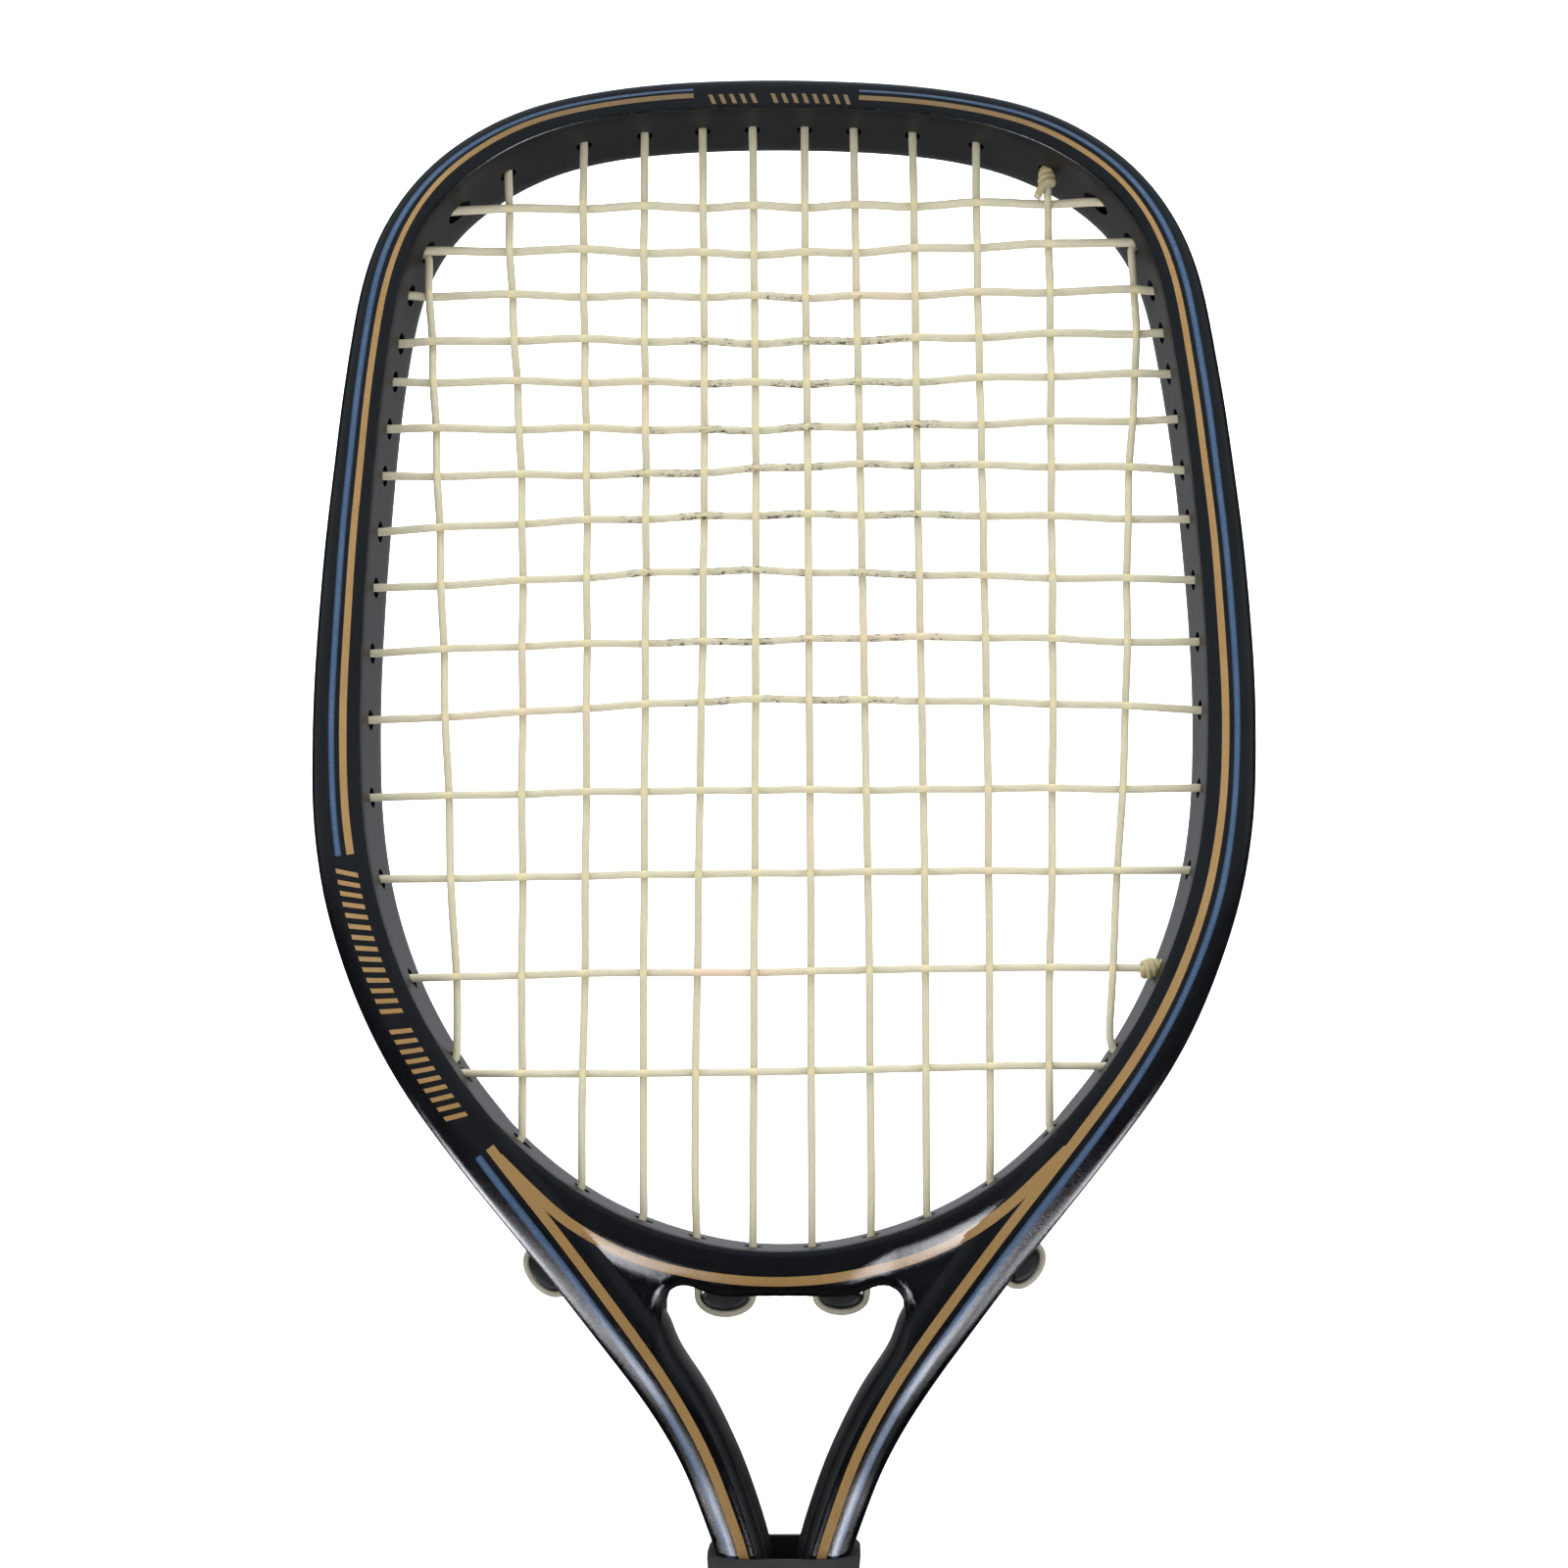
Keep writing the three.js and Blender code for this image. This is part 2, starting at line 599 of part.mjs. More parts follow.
function buildString() {
  const course = [
    ...startCourse(),
    ...mainsCourse(),
    ...overRail(mains[0].top, crosses[0].left, WEAVE),
    ...crossesCourse(),
    ...endCourse(),
  ];
  return sweep(course, STRING_R, 5);
}

// ---------------------------------------------------------------- frame and bridge
const HOLE_R = 2.75; // string holes in the frame
const YOKE_BAND = 12.6; // in-plane width of the hairpin where the bridge meets it
const CORE_INSET = 6.4; // foam core centre line, measured in from the outer contour
const CORE_HALF_W = 3.4; // foam core half width in the plane of the face
const CORE_HALF_D = 6.6; // foam core half depth
const FOAM_TOP = 176;
const CUT_OVERRUN = 2; // the openings are cut this far past both faces

// Outline of the region that belongs to the bridge, widened by grow on each side.
function yokeZone(grow) {
  const edge = insetRightHalf(YOKE_BAND).filter(([, z]) => z > 182 && z < 220);
  const [lowX, lowZ] = edge[edge.length - 1];
  const right = [[50.5, 236], [54.4, 221.4], ...edge, [lowX, lowZ - 3]];
  return mirrored(right.map(([x, z]) => [x + grow, z]));
}

// Outline of the foam core in one shaft; sign is 1 for the right shaft and -1 for the left.
function coreOutline(sign, halfWidth, top, bottom) {
  const line = insetRightHalf(CORE_INSET).filter(([, z]) => z < top && z > bottom);
  const lastX = line[line.length - 1][0];
  const centres = [[line[0][0] + 1.2, top], ...line, [lastX, bottom]];
  const edge = (side) =>
    centres.map((point, i) => {
      const before = centres[Math.max(0, i - 1)];
      const after = centres[Math.min(centres.length - 1, i + 1)];
      const direction = toward(before, after);
      return along(point, [direction[1], -direction[0]], side * halfWidth);
    });
  return [...edge(1), ...edge(-1).reverse()].map(([x, z]) => [x * sign, z]);
}

function buildFoam(sign) {
  const outline = coreOutline(sign, CORE_HALF_W, FOAM_TOP - CLEAR, LEG_BOTTOM);
  return plate(outline, -CORE_HALF_D, CORE_HALF_D);
}

// The hairpin and the bridge in one, before they are parted.
function buildBody() {
  const belowLegs = box([60, 60, 40], [0, 0, LEG_BOTTOM - 20]);
  const groove = band(
    offset(outer, 4).filter(([, z]) => z > 219),
    offset(outer, -GROOVE_DEPTH).filter(([, z]) => z > 221),
  );
  const drills = outlets.map(({ wall, direction, drillEnd }) =>
    rod(along(wall, direction, -DRILL_INSIDE), drillEnd, HOLE_R, 6),
  );
  let body = midPlate(outer, HALF_DEPTH, EDGE_ROUND)
    .subtract(midPlate(inner, HALF_DEPTH + CUT_OVERRUN))
    .subtract(midPlate(throat, HALF_DEPTH + CUT_OVERRUN))
    .subtract(belowLegs)
    .subtract(midPlate(groove, GROOVE_WIDTH / 2))
    .subtract(union(drills));
  for (const sign of [1, -1]) {
    const pocket = coreOutline(sign, CORE_HALF_W + CLEAR, FOAM_TOP, LEG_BOTTOM - 6);
    body = body.subtract(midPlate(pocket, CORE_HALF_D + CLEAR));
  }
  return body;
}

const body = buildBody();
const bridge = largest(body.intersect(midPlate(yokeZone(0), HALF_DEPTH + 3)));
const frame = largest(body.subtract(midPlate(yokeZone(CLEAR), HALF_DEPTH + 3)));

// ---------------------------------------------------------------- grommet strips
const BARREL_R = 2.2; // grommet barrels, outside
const BARREL_BORE = 1.75; // radius of the bore through rail and barrel

const STRIP_EXTENTS = {
  top: ([x, z]) => z > 440 && Math.abs(x) < 90,
  left: ([x, z]) => x < 0 && z < 436 && z > 224,
  right: ([x, z]) => x > 0 && z < 436 && z > 224,
};

// A thin rail over the groove floor with barrels in the string holes; tie-off holes have none.
function buildGrommetStrip(name, keep) {
  const crest = railOuter.filter(keep);
  const outline = band(crest, railInner.filter(keep));
  let strip = midPlate(outline, GROOVE_WIDTH / 2 - CLEAR);
  const bores = [];
  for (const outlet of outlets.filter((candidate) => candidate.strip === name)) {
    const mouth = outlet.mouth.point;
    const place = (distance) => along(mouth, outlet.direction, distance);
    const onRail = crest.some((point) => distanceBetween(point, mouth) < 9);
    if (onRail && !ties.includes(outlet)) {
      strip = strip.add(rod(place(-7.4), place(-1.3), BARREL_R, 6));
    }
    bores.push(rod(place(-12), place(3), BARREL_BORE, 8));
  }
  strip = strip.intersect(midPlate(railOuter, GROOVE_WIDTH)); // trims barrels flush with the rail
  return geometryOf(largest(strip.subtract(union(bores))));
}

// ---------------------------------------------------------------- saddles
const SADDLE_HALF_D = 3.1;
const SADDLE_STRING_GAP = 0.35; // between a saddle and the string over it

// The material region of the hairpin and bridge, grown by the clearance.
function frameClearance() {
  return midPlate(offset(outer, CLEAR), 20)
    .subtract(midPlate(offset(throat, -CLEAR), 21))
    .subtract(midPlate(offset(inner, -CLEAR), 21));
}

// Half-round block that carries the string from one exit to the next.
function buildSaddle({ ends, across, middle, out, sink }) {
  const steps = 10;
  const halfSpan = distanceBetween(...ends) / 2 - STRING_R - SADDLE_STRING_GAP;
  const rise = SADDLE_RISE - STRING_R - SADDLE_STRING_GAP;
  const outline = Array.from({ length: steps + 1 }, (_, i) => {
    const angle = Math.PI * (i / steps);
    const onChord = along(middle, across, -halfSpan * Math.cos(angle));
    return along(onChord, out, rise * Math.sin(angle) + sink);
  });
  const block = midPlate(outline, SADDLE_HALF_D).subtract(frame).subtract(bridge);
  return geometryOf(largest(block.subtract(frameClearance())));
}

// ---------------------------------------------------------------- handle
const PALLET_TOP = 124;
const PALLET_BOTTOM = 25.6;
const WAIST = { x: 0.25, y: 0.2 }; // how much slimmer the grip is at its waist

// The room the legs take up inside the handle pieces.
const legRoom = midPlate(offset(outer, CLEAR), HALF_DEPTH + CLEAR, EDGE_ROUND);

// A loft row at height z, larger than the wrap's octagon by the given half widths.
const gripRow = (z, growX, growY = growX) => [z, GRIP_HALF_W + growX, GRIP_HALF_D + growY];
const waistRow = (z, grow) => gripRow(z, grow - WAIST.x, grow - WAIST.y);

// Strip that fills the slit between the legs.
function buildLegSpacer() {
  const outline = mirrored([[1.3, 18], [1.3, 60], [1.3, 112]]);
  return plate(outline, -HALF_DEPTH + 0.5, HALF_DEPTH - 0.5);
}

// Sign is -1 for the front pallet and 1 for the back one.
function buildPallet(sign) {
  const cutDepth = 40;
  const otherHalf = box([80, cutDepth, 300], [0, -sign * (cutDepth / 2 - CLEAR / 2), 150]);
  const pallet = loft([
    gripRow(PALLET_BOTTOM, -LEATHER),
    waistRow(60, -LEATHER),
    gripRow(PALLET_TOP, -LEATHER),
  ]);
  return geometryOf(largest(pallet.subtract(legRoom).subtract(otherHalf)));
}

// Leather wrap: an eight-sided sleeve, flared at the bottom.
function buildGripWrap() {
  const sleeve = (bottom, top, grow) =>
    loft([gripRow(bottom, grow + 0.5), gripRow(34, grow), waistRow(70, grow), gripRow(top, grow)]);
  const outside = sleeve(BUTT_HEIGHT + CLEAR, GRIP_TOP, 0);
  const bore = sleeve(BUTT_HEIGHT - 5, GRIP_TOP + 5, CLEAR - LEATHER);
  return geometryOf(largest(outside.subtract(bore)));
}

// Tape band round the wrap, just below its top edge.
function buildFinishingTape() {
  const outside = loft([gripRow(GRIP_TOP - 12, 0.75), gripRow(GRIP_TOP - 3, 0.75)]);
  const bore = loft([gripRow(GRIP_TOP - 20, CLEAR), gripRow(GRIP_TOP + 4, CLEAR)]);
  return geometryOf(outside.subtract(bore));
}

// Rubber collar round the legs just above the wrap.
function buildGripCollar() {
  const collar = loft([
    [GRIP_TOP + CLEAR, 17.6, 12.6],
    [GRIP_TOP + 5, 17.9, 12.4],
    [GRIP_TOP + 9, 18.3, 11.4],
  ]);
  return geometryOf(largest(collar.subtract(legRoom)));
}

// ---------------------------------------------------------------- butt cap
const BUTT_HALF_W = 18.6; // flare of the butt cap in X
const BUTT_HALF_D = 16.6; // and in Y
const RIM_CHAMFER = 1.2;
const CUP_FLOOR = 8.2; // floor of the upper cup
const CUP_HALF_W = 15.4;
const CUP_HALF_D = 13.4;

// A flared cup with a rim to stand on, a centre hole and a notch for the cord at its right.
function buildButtCap() {
  const outside = loft([
    [0, BUTT_HALF_W - RIM_CHAMFER, BUTT_HALF_D - RIM_CHAMFER],
    [1.6, BUTT_HALF_W, BUTT_HALF_D],
    [6, BUTT_HALF_W, BUTT_HALF_D],
    gripRow(12, 1.6),
    gripRow(BUTT_HEIGHT, 0.4),
  ]);
  const cup = loft([
    [CUP_FLOOR, CUP_HALF_W, CUP_HALF_D],
    [12, 14.9, 12.6],
    [BUTT_HEIGHT + 4, 14.3, 12.4],
  ]);
  const cupWidening = box([30.6, 26, 8], [0, 0, 12.2]).intersect(
    loft([[CUP_FLOOR, CUP_HALF_W, CUP_HALF_D], [17, CUP_HALF_W, CUP_HALF_D]]),
  );
  const recess = loft([[-2, 13.2, 11.2], [4.6, 12.6, 10.6]]);
  const cordHole = uprightCylinder(4.7, 14, 16, 4);
  const rimNotch = box([16, 8.6, 10], [BUTT_HALF_W - 2, 0, -0.2]);
  const tackHoles = solid(new THREE.CylinderGeometry(1.2, 1.2, 60, 10).translate(0, 0, TACK_Z));
  const cap = outside
    .subtract(cup)
    .subtract(cupWidening)
    .subtract(recess)
    .subtract(cordHole)
    .subtract(rimNotch)
    .subtract(tackHoles);
  return geometryOf(largest(cap));
}

// A tack pinning the cap; sign is -1 at the front and 1 at the back.
function buildTack(sign) {
  const shank = solid(new THREE.CylinderGeometry(0.8, 0.5, 1.9, 10).translate(0, -0.85, 0));
  const headDisc = solid(new THREE.CylinderGeometry(1.9, 2.5, 0.9, 14).translate(0, 0.45, 0));
  const geometry = geometryOf(shank.add(headDisc));
  if (sign < 0) geometry.rotateX(Math.PI);
  return geometry.translate(0, sign * (GRIP_HALF_D + 1.45), TACK_Z);
}

// Retaining plate round the cord hole, just above the floor of the cup.
function buildCordWasher() {
  const bottom = 8.6;
  const top = 10.6;
  const disc = solid(slab(octagon(9.5, 8.2), bottom, top));
  return geometryOf(disc.subtract(uprightCylinder(3.9, 8, 16, (bottom + top) / 2)));
}

// ---------------------------------------------------------------- wrist cord
const CORD_R = 1.5;
const CORD_SIDES = 8;
const CORD_Z = 2.6; // height of the cord's centre line outside the cap
const STRAND_Y = 2.1; // half the distance between the two strands
const CORD_EXIT = 21.5; // x just outside the rim notch; tail and loop both end short of it
const CORD_STRAIGHT = 72; // x where the two strands part into the wrist loop
const CORD_END = 158; // far end of the wrist loop
const LOOP_HALF_LENGTH = (CORD_END - CORD_STRAIGHT) / 2 - 8;
const LOOP_HALF_WIDTH = 27;
const TOGGLE_X = 44; // centre of the sliding toggle
const TOGGLE_LENGTH = 17;

// Fixed tail: from the rim notch up through the centre hole to a knot above the washer.
function buildCordAnchor() {
  const course = [
    [CORD_EXIT - 2.2, CORD_Z], [12, CORD_Z], [6.6, CORD_Z], [3.6, 3.1],
    [1.5, 4.7], [0.4, 6.8], [0, 9.4], [0, 13.4],
  ];
  const strands = [STRAND_Y, -STRAND_Y].map((y) => {
    // the strands draw together near the centre hole
    const points = course.map((point) => inSpace(point, point[0] > 8 ? y : y * 0.85));
    return solid(sweep(points, CORD_R, CORD_SIDES));
  });
  const knot = new THREE.SphereGeometry(4.6, 10, 8).scale(1, 0.95, 0.62).translate(0, 0, 13.9);
  return geometryOf(union([...strands, solid(knot)]));
}

// Two straight strands that open into a loop lying level.
function buildWristCord() {
  const steps = 22;
  const centreX = CORD_END - LOOP_HALF_LENGTH;
  const startAngle = Math.PI * 0.93;
  const points = [[CORD_EXIT - 1.0, STRAND_Y], [CORD_STRAIGHT, STRAND_Y]];
  for (let i = 1; i < steps; i++) {
    const angle = startAngle - (i / steps) * Math.PI * 1.86;
    const opening = Math.min(1, Math.min(i, steps - i) / 3); // narrows the loop near its root
    points.push([
      centreX + LOOP_HALF_LENGTH * Math.cos(angle),
      LOOP_HALF_WIDTH * Math.sin(angle) * (0.82 + 0.18 * opening),
    ]);
  }
  points.push([CORD_STRAIGHT, -STRAND_Y], [CORD_EXIT - 1.0, -STRAND_Y]);
  const course = points.map(([x, y]) => new THREE.Vector3(x, y, CORD_Z));
  return sweep(course, CORD_R, CORD_SIDES);
}

// Sliding toggle: an eight-sided block with two bores, one for each strand.
function buildToggle() {
  const block = slab(octagon(5.4, 2.45, 0.4), -TOGGLE_LENGTH / 2, TOGGLE_LENGTH / 2);
  let toggle = solid(block.rotateY(Math.PI / 2).rotateX(Math.PI / 2));
  const boreRadius = CORD_R + CLEAR;
  for (const y of [STRAND_Y, -STRAND_Y]) {
    const bore = new THREE.CylinderGeometry(boreRadius, boreRadius, TOGGLE_LENGTH + 4, 12);
    toggle = toggle.subtract(solid(bore.rotateZ(Math.PI / 2).translate(0, y, 0)));
  }
  return geometryOf(toggle).translate(TOGGLE_X, 0, CORD_Z);
}

// ---------------------------------------------------------------- assembly
const root = new THREE.Group();
root.name = "racket";
const head = new THREE.Group();
const handle = new THREE.Group();
const cord = new THREE.Group();
root.add(head, handle, cord);
for (const group of [head, handle, cord]) group.position.y = RIM_SEAT;

function addPiece(group, name, geometry, finish) {
  geometry.computeVertexNormals();
  const mesh = new THREE.Mesh(geometry, new THREE.MeshStandardMaterial({ metalness: 0, ...finish }));
  mesh.name = name;
  group.add(mesh);
}

addPiece(head, "graphite_frame", geometryOf(frame), FINISHES.graphite);
addPiece(head, "throat_bridge", geometryOf(bridge), FINISHES.graphite);
addPiece(head, "string", buildString(), FINISHES.string);
for (const [name, keep] of Object.entries(STRIP_EXTENTS)) {
  addPiece(head, "grommet_strip_" + name, buildGrommetStrip(name, keep), FINISHES.grommet);
}
for (const saddle of saddles) addPiece(head, saddle.name, buildSaddle(saddle), FINISHES.saddle);

addPiece(handle, "shaft_foam_right", buildFoam(1), FINISHES.foam);
addPiece(handle, "shaft_foam_left", buildFoam(-1), FINISHES.foam);
addPiece(handle, "leg_spacer", buildLegSpacer(), FINISHES.spacer);
addPiece(handle, "handle_pallet_front", buildPallet(-1), FINISHES.pallet);
addPiece(handle, "handle_pallet_back", buildPallet(1), FINISHES.pallet);
addPiece(handle, "grip_wrap", buildGripWrap(), FINISHES.leather);
addPiece(handle, "finishing_tape", buildFinishingTape(), FINISHES.tape);
addPiece(handle, "grip_collar", buildGripCollar(), FINISHES.rubber);
addPiece(handle, "butt_cap", buildButtCap(), FINISHES.buttCap);
addPiece(handle, "butt_tack_front", buildTack(-1), FINISHES.tack);
addPiece(handle, "butt_tack_back", buildTack(1), FINISHES.tack);
addPiece(handle, "cord_washer", buildCordWasher(), FINISHES.washer);

addPiece(cord, "cord_anchor", buildCordAnchor(), FINISHES.cord);
addPiece(cord, "wrist_cord", buildWristCord(), FINISHES.cord);
addPiece(cord, "cord_toggle", buildToggle(), FINISHES.toggle);

export default root;
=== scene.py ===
# A strung court racket: the fine surfaces, materials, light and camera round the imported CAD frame.
import bpy
import bmesh
import math
import numpy as np
from mathutils import Matrix, Quaternion, Vector


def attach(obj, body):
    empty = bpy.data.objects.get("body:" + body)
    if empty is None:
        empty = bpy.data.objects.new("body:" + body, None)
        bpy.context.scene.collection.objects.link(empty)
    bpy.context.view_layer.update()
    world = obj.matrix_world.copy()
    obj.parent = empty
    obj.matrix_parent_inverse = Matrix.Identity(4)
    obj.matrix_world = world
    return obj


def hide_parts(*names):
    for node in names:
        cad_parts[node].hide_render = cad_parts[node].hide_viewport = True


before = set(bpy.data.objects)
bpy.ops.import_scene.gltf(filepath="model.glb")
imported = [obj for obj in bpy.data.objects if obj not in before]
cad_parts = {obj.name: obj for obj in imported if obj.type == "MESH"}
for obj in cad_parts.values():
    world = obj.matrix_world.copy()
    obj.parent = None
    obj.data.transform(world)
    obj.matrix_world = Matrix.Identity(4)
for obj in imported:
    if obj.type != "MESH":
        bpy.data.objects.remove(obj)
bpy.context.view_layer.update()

MM = 0.001
SEAT = np.array([0.0, 13.3, 0.0])  # the shapes are drawn about the racket's own axis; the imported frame's origin is on the butt rim
RNG = np.random.default_rng(7)

# ------------------------------------------------------------------ shape data (mm)
HALF = 9.75
OUTER = np.array([
  [0, 470], [12, 469.8], [24, 469.2], [36, 467.9], [47, 466.0], [56.5, 463.6], [65, 460.2], [72, 456.2], [78, 451.7], [83, 446.6], [87.3, 440.9], [90.9, 434.6], [94.0, 427.0], [96.4, 418.0], [98.2, 408.4], [99.7, 399.6], [101.0, 390.7], [102.1, 381.8], [103.2, 372.9], [104.2, 364.0], [105.0, 355.1], [105.7, 346.3], [106.3, 337.4], [106.7, 328.5], [106.8, 319.6], [106.7, 310.7], [106.2, 301.8], [105.1, 292.9], [103.5, 284.1], [101.1, 275.2], [98.1, 266.3], [94.5, 257.4], [90.1, 248.5], [84.7, 239.6], [78.3, 230.8], [71.4, 221.9], [64.2, 213.0], [56.9, 204.1], [49.8, 195.2], [43.0, 186.3], [36.3, 177.4], [30.2, 168.6], [24.9, 159.7], [20.8, 151.0], [17.9, 143.2], [15.3, 136.0], [13.9, 129.5], [13.6, 123.0], [13.6, 112.0], [13.6, 60.0], [13.6, 17.6],
])
INNER = np.array([
  [0, 460.7], [11, 460.6], [22, 460.2], [33, 459.2], [43.5, 457.4], [53.5, 454.4], [62.3, 450.4], [69.5, 445.8], [75.2, 440.8], [79.9, 434.8], [83.4, 427.6], [85.6, 420.0], [87.2, 412.0], [88.6, 404.0], [89.9, 395.5], [91.0, 386.3], [92.0, 377.1], [92.8, 367.9], [93.6, 358.7], [94.2, 349.6], [94.7, 340.4], [95.0, 331.2], [95.0, 322.0], [94.8, 312.8], [94.2, 303.7], [93.0, 294.5], [91.1, 285.3], [88.4, 276.1], [84.9, 267.0], [80.4, 257.8], [74.8, 248.6], [68.2, 239.4], [59.8, 230.2], [49.0, 221.1], [40.5, 215.8], [31.5, 211.6], [21.5, 208.3], [11, 206.0], [0, 205.3],
])
THROAT = np.array([
  [0, 195.0], [8, 194.9], [14, 195.0], [18.5, 196.2], [21.6, 197.3], [24.3, 197.0], [26.4, 195.2], [27.4, 192.5], [27.4, 189.4], [25.9, 184.3], [19.9, 175.2], [14.9, 166.0], [10.7, 156.8], [7.4, 147.8], [5.0, 140.0], [3.3, 132.0], [2.2, 124.0], [1.7, 114.0], [1.6, 60.0], [1.6, 17.6],
])
# Course of each string across the head, [x, z] in the plane of the bed.
MAINS = [
    [[-82.14, 431.9], [-79.52, 387.52], [-77.77, 335.96], [-76.54, 300.1], [-75.75, 279.92], [-74.83, 256.39], [-74.97, 248.54]],
    [[-63.09, 450.28], [-62.84, 436.83], [-60.38, 387.52], [-59.9, 335.96], [-59.97, 300.1], [-59.93, 279.92], [-60.04, 256.39], [-59.95, 230.61]],
    [[-45.83, 457.68], [-45.94, 436.83], [-45.29, 387.52], [-45.2, 335.96], [-45.38, 300.1], [-45.54, 279.92], [-45.83, 256.39], [-46.25, 232.85], [-46.28, 219.4]],
    [[-31.93, 460.14], [-32.11, 436.83], [-31.68, 387.52], [-31.84, 335.96], [-32.04, 300.1], [-32.13, 279.92], [-32.24, 256.39], [-32.31, 232.85], [-32.24, 221.65], [-32.15, 211.56]],
    [[-18.71, 461.49], [-18.5, 436.83], [-18.32, 387.52], [-18.82, 335.96], [-19.47, 300.1], [-19.69, 279.92], [-20.16, 256.39], [-20.34, 232.85], [-20.41, 221.65], [-20.05, 208.2]],
    [[-7.27, 461.49], [-7.01, 436.83], [-6.56, 387.52], [-6.6, 335.96], [-6.71, 300.1], [-6.85, 279.92], [-6.98, 256.39], [-7.09, 232.85], [-7.14, 221.65], [-7.21, 206.4]],
    [[4.61, 461.49], [4.7, 436.83], [5.3, 387.52], [5.66, 335.96], [5.91, 300.1], [6.06, 279.92], [6.09, 256.39], [6.2, 232.85], [6.26, 221.65], [6.31, 206.4]],
    [[15.81, 461.49], [16.24, 436.83], [17.25, 387.52], [18.26, 335.96], [18.88, 300.1], [19.27, 279.92], [19.53, 256.39], [19.74, 232.85], [19.87, 221.65], [19.78, 209.32]],
    [[29.26, 459.92], [29.69, 436.83], [30.32, 387.52], [31.28, 335.96], [31.91, 300.1], [32.15, 279.92], [32.31, 256.39], [32.38, 232.85], [32.47, 221.65], [32.51, 213.13]],
    [[43.83, 457.0], [43.99, 436.83], [45.07, 387.52], [46.1, 335.96], [46.66, 300.1], [46.81, 279.92], [46.93, 256.39], [47.11, 232.85], [46.97, 222.77]],
    [[59.97, 449.16], [60.4, 436.83], [60.96, 387.52], [61.38, 335.96], [61.23, 300.1], [60.98, 279.92], [60.49, 256.39], [60.64, 232.85]],
    [[81.55, 431.2], [80.35, 410.0], [79.09, 387.52], [78.22, 335.96], [76.72, 300.1], [75.55, 279.92], [74.4, 257.2], [74.4, 253.4], [75.2, 250.1]],
]
CROSSES = [
    [[-74.74, 441.99], [-53.9, 442.88], [-38.21, 443.11], [-24.76, 443.22], [-0.1, 443.33], [12.23, 443.4], [38.0, 443.8], [53.7, 444.14], [72.75, 444.0]],
    [[-81.69, 432.8], [-53.9, 433.36], [-38.21, 433.13], [-24.76, 432.73], [-0.1, 432.55], [12.23, 432.86], [38.0, 433.89], [53.7, 434.48], [69.39, 434.59], [79.47, 434.81]],
    [[-85.28, 422.93], [-53.9, 422.98], [-38.21, 422.84], [-24.76, 422.84], [-0.1, 422.69], [12.23, 422.64], [38.0, 423.4], [53.7, 423.72], [69.39, 424.12], [84.63, 424.05]],
    [[-87.52, 411.95], [-53.9, 412.91], [-38.21, 412.78], [-24.76, 412.51], [-0.1, 412.2], [12.23, 412.62], [38.0, 413.32], [53.7, 413.9], [69.39, 414.28], [86.42, 414.42]],
    [[-89.09, 403.21], [-53.9, 403.25], [-38.21, 403.19], [-24.76, 403.1], [-0.1, 402.94], [12.23, 403.03], [38.0, 403.7], [53.7, 404.42], [69.39, 404.8], [87.77, 405.0]],
    [[-90.43, 392.45], [-53.9, 392.54], [-38.21, 392.52], [-24.76, 392.27], [-0.1, 392.49], [12.23, 392.99], [38.0, 393.44], [53.7, 393.86], [69.39, 394.2], [89.11, 394.69]],
    [[-91.56, 381.69], [-53.9, 381.94], [-38.21, 382.03], [-24.76, 382.32], [-0.1, 383.68], [12.23, 384.2], [38.0, 384.2], [53.7, 384.0], [69.39, 383.89], [90.68, 383.03]],
    [[-92.23, 368.91], [-53.9, 371.18], [-38.21, 371.78], [-24.76, 372.19], [-0.1, 372.88], [12.23, 372.93], [38.0, 372.79], [53.7, 372.63], [69.39, 372.25], [91.8, 371.83]],
    [[-93.35, 356.14], [-53.9, 358.06], [-38.21, 359.05], [-24.76, 359.77], [-0.1, 359.92], [12.23, 359.57], [38.0, 359.05], [53.7, 358.67], [69.39, 358.36], [93.59, 357.93]],
    [[-94.02, 341.12], [-53.9, 343.05], [-38.21, 343.43], [-24.76, 343.65], [-0.1, 344.17], [12.23, 344.64], [38.0, 344.82], [53.7, 344.77], [69.39, 344.12], [94.49, 343.81]],
    [[-94.69, 325.88], [-53.9, 328.05], [-38.21, 329.1], [-24.76, 329.8], [-0.1, 330.72], [12.23, 330.52], [38.0, 330.29], [53.7, 329.87], [69.39, 329.46], [95.39, 328.12]],
    [[-94.69, 308.17], [-53.9, 309.2], [-38.21, 309.58], [-24.76, 309.67], [-0.1, 309.96], [12.23, 309.92], [38.0, 310.12], [53.7, 310.36], [69.39, 310.23], [94.94, 310.41]],
    [[-92.0, 289.56], [-53.9, 290.08], [-38.21, 290.44], [-24.76, 290.66], [-0.1, 290.91], [12.23, 291.09], [38.0, 291.38], [53.7, 291.4], [69.39, 291.42], [92.25, 291.58]],
    [[-84.38, 266.92], [-53.9, 267.73], [-38.21, 268.13], [-24.76, 268.16], [-0.1, 268.31], [12.23, 268.65], [38.0, 269.1], [53.7, 269.32], [69.39, 269.34], [83.96, 269.17]],
    [[-72.28, 245.18], [-53.9, 245.02], [-38.21, 245.07], [-24.76, 245.23], [-0.1, 245.56], [12.23, 245.85], [38.0, 246.5], [53.7, 246.88], [73.87, 246.75]],
]

LOWER_EXITS = {0: (-86.6, 242.6), 1: (-75.8, 227.8), 10: (75.8, 227.8), 11: (86.6, 242.6)}
SHOULDER_EXITS = {2: (-57.6, 205.0), 3: (-50.0, 195.5), 8: (50.0, 195.5), 9: (57.6, 205.0)}
GROOVE = 2.2
WEAVE = 0.70
STRING_R = 0.90


